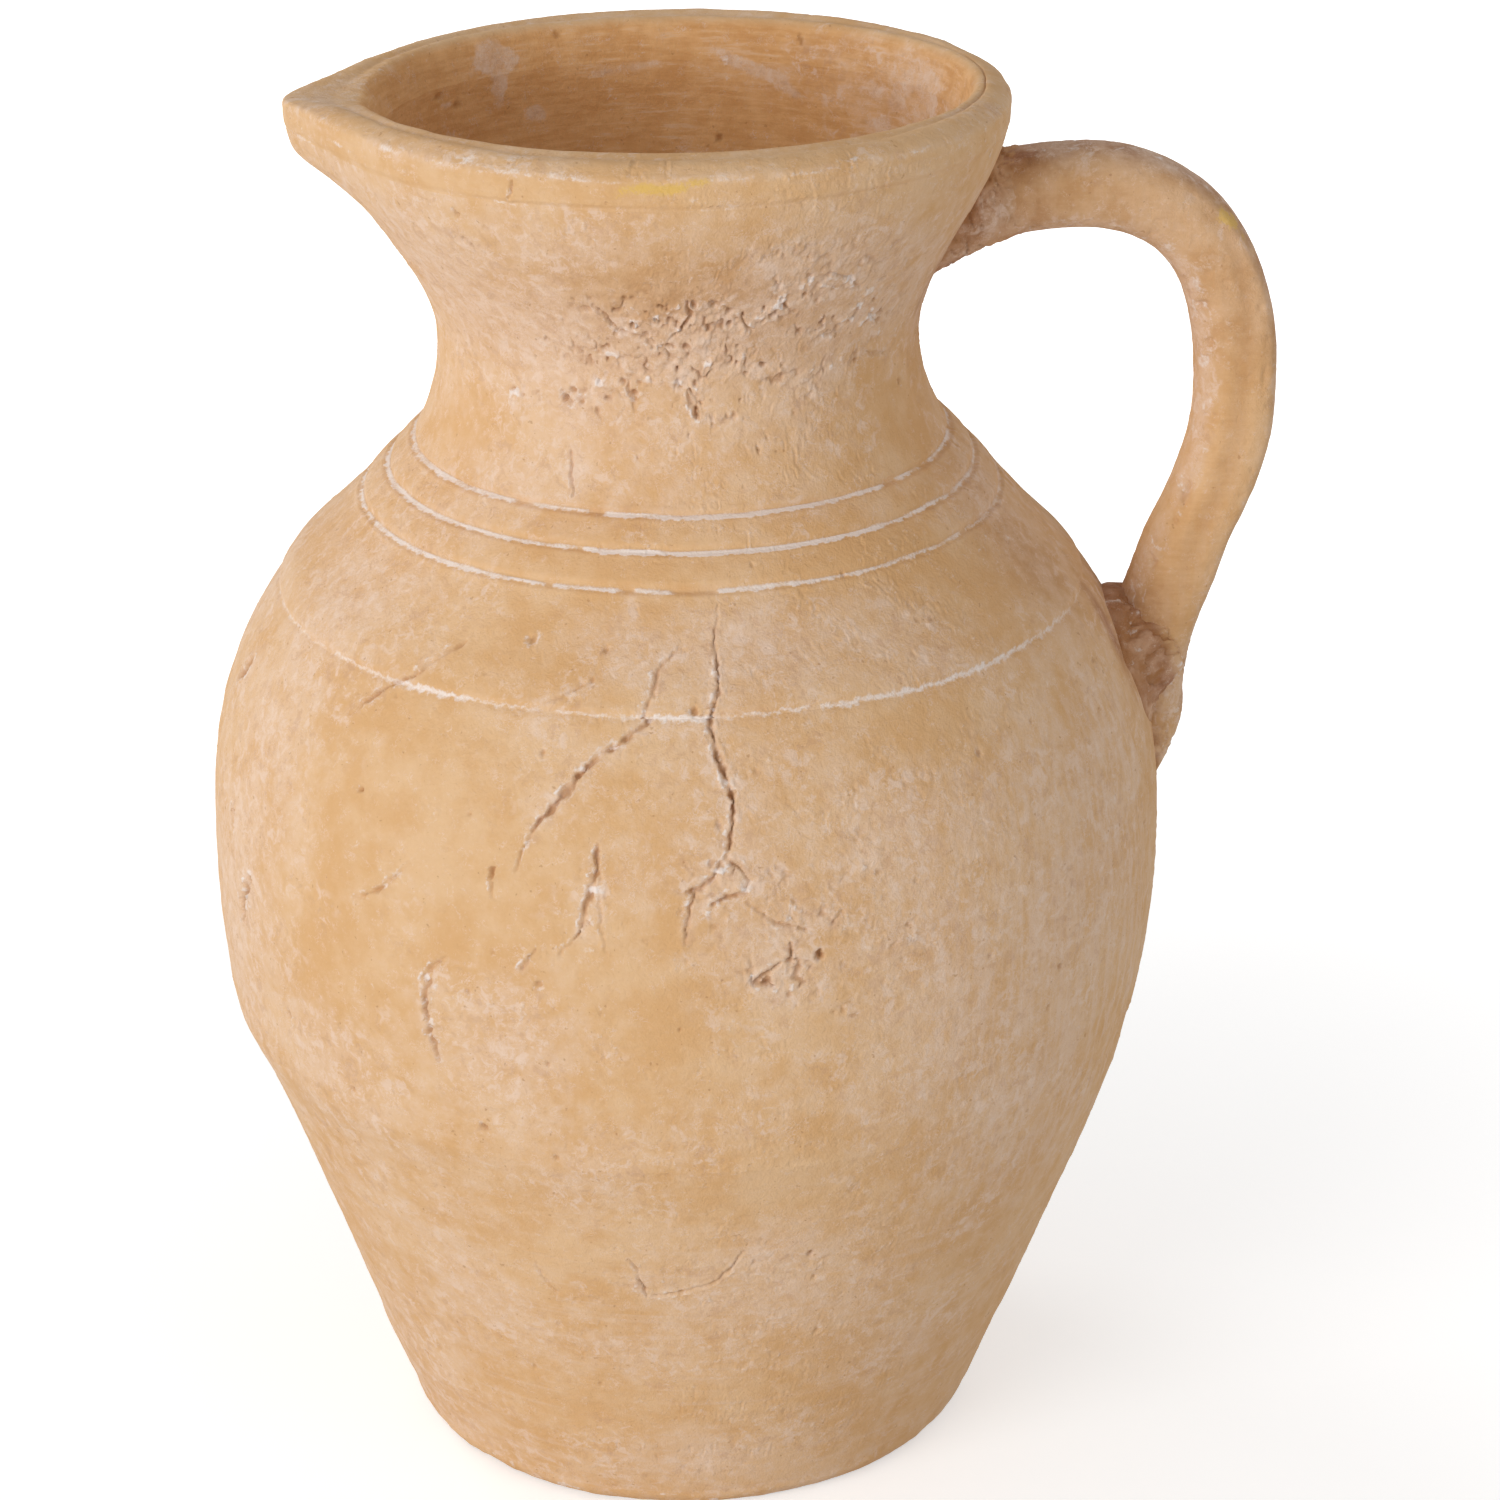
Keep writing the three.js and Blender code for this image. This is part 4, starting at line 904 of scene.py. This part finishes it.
def handle_marks(points, reach, side, push):
    top, inner_edge, face = bell(side, 0, 34), bell(side, 142, 26), bell(side, 80, 30)
    ochre = bell(side, 108, 16) * smooth(reach, 80, 120)
    root, left, tail = 1 - smooth(reach, 14, 52), smooth(side, 70, 110), tail_share(points, reach)
    foot = band(reach, LENGTH - 52, LENGTH - 34, LENGTH - 26, LENGTH - 12)
    valley = side_valley(side, reach)
    lime = .22 + .45 * fractal(points, (10, 10, 10), 3, 101) + .4 * inner_edge + .3 * top - .3 * face - .4 * ochre
    lime *= 1 - .5 * foot * left
    lime += tail * (.5 + .3 * fractal(points, 4, 2, 119) - lime)

    flecked = smooth(fractal(points, 1.9, 3, 102), .22, .5) * (.5 * inner_edge + .45 * top + .12)
    chipped = bell(side, 125, 12) * smooth(lumps(points, 1.9, 103) + .5 * lumps(points, .9, 108), .3, .7)
    chipped *= .5 * band(reach, 20, 40, 85, 120)
    curled = curls(points, 2.8, 106, .18) * smooth(lumps(points, 4, 107), .1, .5)
    white = most(flecked, chipped, .7 * curled * most(top, inner_edge),
                 .5 * tail * smooth(fractal(points, 1.7, 3, 117), .2, .5))
    # painted shade where the handle is pushed in, along the valleys between its facets, in the notch and the crevice,
    # and in the hollows of the rough tail
    dark = most(.5 * smooth(-push - .5 - .7 * valley, .35, .9), notch_shade(points), .3 * valley ** 2, crevice_shade(points),
                .5 * tail * smooth(-fractal(points, 3.2, 3, 97, .65), .15, .5))
    stain = sum(spot(points, place, (size, 2.2, size)) for *place, size in HANDLE_STAIN)
    stain *= 1.3 * smooth(lumps(points, 1.4, 104), -.7, .4)

    red = root * (.75 + .3 * lumps(points, 12, 105)) * (.8 - .3 * face)
    red += foot * (.7 + .6 * lumps(points, 6, 105)) * .8 * left + top * (.7 + .35 * lumps(points, 9, 99))
    red += .25 * band(reach, 30, 50, 80, 105)
    deep = (face * (.3 + .15 * smooth(reach, 120, 150)) + .3 * ochre) * (1 - tail) + .15 * root
    return unit(together(lime, white, dark, stain)), unit(together(deep, red, .25 * face, top))


def handle(name):
    return swept(name, HANDLE_START, LENGTH, 420, 112, strap_size, handle_push, handle_marks)


def collar_size(reach):
    thick, wide = strap_size(reach)
    left = 1 - unit(reach / COLLAR_END)
    grown = 2 * (5 * left ** 2 + .4 - 1.1 * smooth(reach, COLLAR_END - 14, COLLAR_END))
    return thick + grown, wide + grown


def clay_push(points, reach, side):
    push = .3 * fractal(points, (8, 8, 6), 2, 111) + .5 * fractal(points, 2.2, 3, 112, .65)
    return push - .45 * curls(points, 3, 110, .18) - .1


def clay_marks(points, push, smeared=0):
    """Marks of pressed clay, which turns paler where it is smeared out."""
    white = .4 * smooth(fractal(points, 1.5, 3, 114), .3, .55)
    # painted shade where the pressed clay is pushed in, and in the notch and the crevice
    dark = most(.75 * smooth(-push, .3, .9), notch_shade(points), crevice_shade(points))
    red = unit(.75 + .4 * lumps(points, 10, 115)) * (1 - smeared) + .35 * smeared
    return together(unit(.2 + .6 * fractal(points, 8, 3, 113)), white, dark, 0), together(0, red, 0, .3)


def upper_collar(name):
    """The clay pressed round the handle's root."""
    return swept(name, 0, COLLAR_END, 90, 120, collar_size, clay_push,
                 lambda points, reach, side, push: clay_marks(points, push, smooth(reach, 14, 30)))


def lower_pad(name):
    """Rough clay pressed into the corner between the handle and the belly: a steep-topped mound on the wall."""
    centre, half_wide, above, below, height, rings, sides = 177.0, 20.0, 12.2, 19.0, 9.5, 80, 240
    share, angle = np.meshgrid(np.linspace(0, 1, rings), 2 * np.pi * np.arange(sides) / sides, indexing="ij")
    share, angle = share.ravel(), angle.ravel()
    power = np.where(np.sin(angle) > 0, 1.4, 2)
    edge = (np.abs(np.cos(angle)) ** power + np.abs(np.sin(angle)) ** power) ** (-1 / power)
    edge *= 1 + .05 * np.sin(3 * angle + 1) + .04 * np.sin(7 * angle)
    rise = share * edge * np.sin(angle)
    z = centre + np.where(rise > 0, above, below) * rise
    radius, lean = wall(z)
    turn = share * edge * half_wide * np.cos(angle) / radius
    points = placed(radius, turn, z)
    # hollow towards the wall at the sides, fuller at the top
    top = smooth(np.sin(angle), .2, .8)
    side_fill, top_fill = np.minimum(1, (1 - share) / .5) ** 1.5, 1 - share ** 2.6
    up = height * (side_fill + top * (top_fill - side_fill)) * (.35 + .65 * smooth(z, 158, 173))
    coarse, crazed = fractal(points, 2.2, 3, 122, .7), curls(points, 3.4, 123, .22)
    rough = .6 * fractal(points, (6, 6, 6), 2, 121) + 1.1 * coarse - .8 * crazed
    up = up + rough * smooth(1 - share, 0, .25) - 1.6 * smooth(share, .95, 1)
    tilt = np.hypot(1, lean)
    front = placed(radius + up / tilt, turn, z - lean * up / tilt)
    marks, tone = clay_marks(front, rough)
    # the pressed clay's red fades low down and on the mound's crest, so it is deepest towards the wall: partly its own
    # colour, partly painted shade
    low, outer = 1 - smooth(z, 160, 170), smooth(up, 6.5, 9)
    tone[:, 1] = unit(tone[:, 1] + .35) * (1 - .6 * low) * (1 - .7 * outer)
    marks[:, 0] = unit(marks[:, 0] * .4 + low * .4)
    marks[:, 1] = most(marks[:, 1], .7 * smooth(coarse, .3, .55) * smooth(lumps(points, 4, 125), -.2, .4))
    # painted shade: a dark ring near the mound's foot where it meets the wall, and in the hollows and crazed lines of
    # its rough clay
    seam = .8 * bell(share, .86, .07) * smooth(lumps(points, 2.5, 124), -.6, .2)
    hollows = most(.7 * crazed, smooth(-coarse, .1, .42)) * smooth(1 - share, 0, .2) * (1 - .5 * outer)
    marks[:, 2] = most(marks[:, 2], seam, hollows)
    # a curved back inside the wall closes the mound
    back = placed(radius - 4, turn, z)
    count, rim, side = rings * sides, (rings - 1) * sides, np.arange(sides)
    beside = (side + 1) % sides
    quads, _ = grid_faces(rings, sides)
    faces = np.concatenate([quads[:, ::-1], quads + count, rim + together(side, count + side, count + beside, beside)])
    disc = together(.25 + .24 * share * np.cos(angle), .5 + .48 * share * np.sin(angle))
    chart = np.concatenate([disc, disc + (.5, 0)])[faces.ravel()]
    return make_mesh(name, np.concatenate([front, back]), faces, np.tile(marks, (2, 1)), np.tile(tone, (2, 1)), chart)


# Materials
def paint(red, green, blue):
    """A colour as it is seen on a screen, 0 to 255, turned into the linear values that shaders take."""
    shares = [v / 255 for v in (red, green, blue)]
    return (*(v / 12.92 if v < .04045 else ((v + .055) / 1.055) ** 2.4 for v in shares), 1)


class Nodes:
    """Builds the nodes of a material or a world with one call for each."""

    def __init__(self, owner):
        owner.use_nodes = True
        self.tree = owner.node_tree
        self.tree.nodes.clear()

    def add(self, kind, inputs=None, **settings):
        node = self.tree.nodes.new(kind)
        for key, value in settings.items():
            setattr(node, key, value)
        for key, value in (inputs or {}).items():
            self.put(value, node.inputs[key])
        return node

    def put(self, value, socket):
        if isinstance(value, bpy.types.NodeSocket):
            self.tree.links.new(value, socket)
        else:
            socket.default_value = value

    def maths(self, operation, *values):
        return self.add("ShaderNodeMath", dict(enumerate(values)), operation=operation).outputs[0]

    def plus(self, first, second):
        return self.maths("ADD", first, second)

    def times(self, first, second):
        return self.maths("MULTIPLY", first, second)

    def step(self, value, low, high, lowest=0.0, highest=1.0):
        """A smooth rise of value from lowest to highest between low and high."""
        inputs = {"Value": value, "From Min": low, "From Max": high, "To Min": lowest, "To Max": highest}
        return self.add("ShaderNodeMapRange", inputs, interpolation_type="SMOOTHSTEP").outputs["Result"]

    def mix(self, factor, first, second):
        return self.add("ShaderNodeMix", {0: factor, 6: first, 7: second}, data_type="RGBA").outputs[2]

    def noise(self, scale, detail=3.0, rough=.55, squeeze=(1, 1, 1), shift=(0, 0, 0), warp=0.0):
        """Noise over the object's own space. Scale is in lumps for each metre, and squeeze multiplies it by axis."""
        inputs = {"Vector": self.place, "Scale": squeeze, "Location": shift}
        place = self.add("ShaderNodeMapping", inputs).outputs[0]
        inputs = {"Vector": place, "Scale": scale, "Detail": detail, "Roughness": rough, "Distortion": warp}
        return self.add("ShaderNodeTexNoise", inputs).outputs[0]

    def attribute(self, layer):
        """The four values of a colour attribute."""
        colour = self.add("ShaderNodeVertexColor", layer_name=layer).outputs
        return (*self.add("ShaderNodeSeparateColor", {0: colour["Color"]}).outputs, colour["Alpha"])


OCHRE_PALE, OCHRE_DEEP = paint(221, 183, 141), paint(213, 168, 118)
INSIDE_PALE, INSIDE_DEEP = paint(227, 178, 124), paint(209, 155, 99)
CLAY_PALE, CLAY_DEEP = paint(192, 149, 121), paint(162, 113, 82)
BLOOM, FLECK, WHITE = paint(225, 195, 170), paint(231, 206, 188), paint(238, 226, 219)
# HOLLOW is the brown of the dark specks and of the painted shade in the hollows
HOLLOW, YELLOW = paint(160, 106, 56), paint(222, 182, 90)


def clay_material(name):
    """Low-fired clay: ochre patches, a pale lime bloom, brushed streaks, white flecks, and painted shade in the
    hollows.
    """
    material = bpy.data.materials.new(name)
    m = Nodes(material)
    m.place = m.add("ShaderNodeTexCoord").outputs["Object"]
    (lime, white, dark, stain), (inner, red, brush, haze) = m.attribute("marks"), m.attribute("tones")
    broad = m.noise(45, 4, .6)
    blotches = m.noise(160, 5, .62, shift=(3, 1, 2))
    mottle = m.noise(420, 5, .65, shift=(1, 4, 2), warp=.6)
    grain = m.noise(1500, 3, .6)
    banding = m.noise(70, 4, .6, squeeze=(.35, .35, 7), shift=(5, 1, 3))
    dashes = m.noise(150, 4, .6, squeeze=(.8, .8, 7), shift=(2, 6, 3))
    strokes = m.noise(420, 4, .62, squeeze=(1, 1, .08), shift=(2, 2, 7))

    # the clay itself
    body = m.mix(m.step(m.plus(m.times(broad, .6), m.times(blotches, .4)), .38, .62), OCHRE_DEEP, OCHRE_PALE)
    within = m.step(m.plus(m.times(dashes, .5), m.times(blotches, .5)), .36, .64)
    body = m.mix(inner, body, m.mix(within, INSIDE_DEEP, INSIDE_PALE))
    body = m.mix(red, body, m.mix(m.step(blotches, .38, .62), CLAY_DEEP, CLAY_PALE))

    def coat(share, strength, colour):
        nonlocal body
        body = m.mix(m.times(share, strength), body, colour)

    # the bloom, thickest where the marks say, broken up by mottling, and brush strokes
    amount = m.plus(lime, m.times(m.plus(blotches, -.5), 1.3))
    coat(m.times(m.step(amount, .12, .95), m.step(mottle, .3, .66, .45, 1.0)), .72, BLOOM)
    coat(m.times(m.step(banding, .5, .68), haze), .34, BLOOM)
    coat(m.times(m.step(strokes, .44, .64), brush), .5, BLOOM)
    coat(m.times(m.step(strokes, .5, .32), brush), .32, OCHRE_DEEP)
    coat(m.times(m.times(m.step(dashes, .54, .68), m.step(broad, .46, .6)), inner), .4, BLOOM)
    # grains of the clay, a little darker and lighter
    coat(m.step(grain, .42, .3), .16, OCHRE_DEEP)
    coat(m.step(grain, .58, .72), .22, BLOOM)
    # flecks of lime, like short bright hairs, then blobs and dark specks
    ridge = m.maths("ABSOLUTE", m.plus(m.noise(620, 2, .5, shift=(7, 3, 1), warp=2.2), -.5))
    spots = m.plus(m.noise(330, 3, .6, shift=(4, 8, 2)), m.times(lime, .14))
    coat(m.times(m.step(ridge, .05, .01), m.step(spots, .54, .66)), .42, FLECK)
    blobs = m.noise(320, 5, .68, shift=(6, 2, 4), warp=.5)
    near = m.step(m.plus(m.noise(75, 3, .6, shift=(2, 8, 1)), m.times(lime, .45)), .54, .78)
    coat(m.times(m.step(blobs, .5, .64), near), .55, FLECK)
    coat(m.times(m.step(blobs, .45, .38), near), .3, CLAY_PALE)
    coat(m.step(m.noise(700, 2, .5, shift=(1, 9, 5)), .7, .76), .4, HOLLOW)
    # the marks of the mesh: painted shade in the hollows, white lime with a ragged edge, and the yellow stains
    coat(dark, .7, HOLLOW)
    ragged = m.plus(m.times(mottle, .5), m.times(m.noise(1900, 3, .65, shift=(9, 2, 6)), 1.1))
    ragged = m.plus(ragged, -.8)
    crumbs = m.step(m.plus(white, ragged), .12, .92)
    coat(crumbs, .9, WHITE)
    coat(m.step(m.plus(stain, m.times(ragged, 1.6)), .2, .9), .7, YELLOW)

    height = m.plus(m.times(grain, .5), m.plus(m.times(mottle, 1.1), m.times(crumbs, .25)))
    bump = m.add("ShaderNodeBump", {"Strength": .7, "Distance": .0004, "Height": height})
    rough = m.step(mottle, .3, .7, .82, .95)
    shader = m.add("ShaderNodeBsdfPrincipled", {"Base Color": body, "Roughness": rough, "Normal": bump.outputs[0],
                                                "Specular IOR Level": .25})
    m.add("ShaderNodeOutputMaterial", {"Surface": shader.outputs[0]})
    return material


materials = {slot: clay_material(slot) for slot in ("terracotta", "pressed_clay")}

# The nine pieces
for node, build, slot in (
    ("base_disc", floor_slab, "terracotta"),
    ("lower_wall", foot_section, "terracotta"),
    ("belly_wall", wall_section(TURN_SEAM, SHOULDER_SEAM), "terracotta"),
    ("shoulder", wall_section(SHOULDER_SEAM, NECK_SEAM), "terracotta"),
    ("neck", wall_section(NECK_SEAM, LIP_SEAM), "terracotta"),
    ("rim_lip", lip_section, "terracotta"),
    ("handle", handle, "terracotta"),
    ("upper_luting", upper_collar, "pressed_clay"),
    ("lower_luting", lower_pad, "pressed_clay"),
):
    piece = build(node + "_clay")
    piece.data.materials.append(materials[slot])
    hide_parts(node)
    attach(piece, "root")

# The floor, which turns white away from the object and keeps its shadow near it
FLOOR_HALF, FLOOR_LEVEL = 3, -.0002
ground = bpy.data.meshes.new("floor")
square = [(x * FLOOR_HALF, y * FLOOR_HALF, FLOOR_LEVEL) for x, y in ((-1, -1), (1, -1), (1, 1), (-1, 1))]
ground.from_pydata(square, [], [(0, 1, 2, 3)])
floor = shown("floor", ground)
material = bpy.data.materials.new("floor")
m = Nodes(material)
rays = m.add("ShaderNodeLightPath").outputs
seen = m.maths("MAXIMUM", m.maths("MAXIMUM", rays["Is Camera Ray"], rays["Is Glossy Ray"]), rays["Is Transmission Ray"])
matt = m.add("ShaderNodeBsdfDiffuse", {"Color": (.75, .75, .75, 1)})
place = m.add("ShaderNodeTexCoord").outputs["Object"]
away = m.add("ShaderNodeVectorMath", {0: place}, operation="LENGTH").outputs["Value"]
glow = m.add("ShaderNodeEmission", {"Color": (1, 1, 1, 1), "Strength": m.times(seen, m.step(away, .1, .8, .5, 1.0))})
both = m.add("ShaderNodeAddShader", {0: matt.outputs[0], 1: glow.outputs[0]})
m.add("ShaderNodeOutputMaterial", {"Surface": both.outputs[0]})
ground.materials.append(material)

# Light: an even sky, a broad soft lamp from the front left and weaker ones from the right and from behind
SKY_LIGHT = .46
world = bpy.data.worlds.new("studio")
bpy.context.scene.world = world
sky = Nodes(world)
rays = sky.add("ShaderNodeLightPath").outputs
direct = sky.maths("MAXIMUM", rays["Is Camera Ray"], rays["Is Glossy Ray"])
level = sky.add("ShaderNodeMapRange", {"Value": direct, "To Min": SKY_LIGHT, "To Max": 1.0}).outputs["Result"]
background = sky.add("ShaderNodeBackground", {"Color": (1, 1, 1, 1), "Strength": level})
sky.add("ShaderNodeOutputWorld", {0: background.outputs[0]})

for name, place, aim_height, size, power in (
    ("key", (-1.55, -1.6, .62), .15, 1.3, 30),
    ("fill", (1.7, -1.2, .4), .15, 1.3, 7),
    ("back", (-1.4, 1.3, 1.1), .28, 1.0, 9),
):
    light = bpy.data.lights.new(name, "AREA")
    light.shape, light.size, light.energy = "DISK", size, power
    holder = shown(name, light)
    holder.location = place
    holder.rotation_euler = (Vector((0, 0, aim_height)) - Vector(place)).to_track_quat("-Z", "Y").to_euler()

# The camera, at the photograph's angle and distance, turned a little about its own line of sight
CAMERA_DISTANCE, CAMERA_TILT, CAMERA_AIM, CAMERA_ROLL = .903543, math.radians(22.7772), .152107, math.radians(.8425)
PHOTO_WIDTH, FOCAL_LENGTH, AXIS_COLUMN, SENSOR_WIDTH = 1500, 4162.26, 686.042, 36
camera = bpy.data.cameras.new("camera")
camera.sensor_width, camera.lens = SENSOR_WIDTH, FOCAL_LENGTH / PHOTO_WIDTH * SENSOR_WIDTH
camera.shift_x = (PHOTO_WIDTH / 2 - AXIS_COLUMN) / PHOTO_WIDTH
camera.clip_start = .05
viewer = shown("camera", camera)
back, up = math.cos(CAMERA_TILT), math.sin(CAMERA_TILT)
place = Matrix.Translation((0, -CAMERA_DISTANCE * back, CAMERA_AIM + CAMERA_DISTANCE * up))
viewer.matrix_world = place @ Matrix.Rotation(math.pi / 2 - CAMERA_TILT, 4, "X") @ Matrix.Rotation(-CAMERA_ROLL, 4, "Z")
bpy.context.scene.camera = viewer
bpy.context.scene.view_settings.view_transform = "Standard"

bpy.context.view_layer.update()
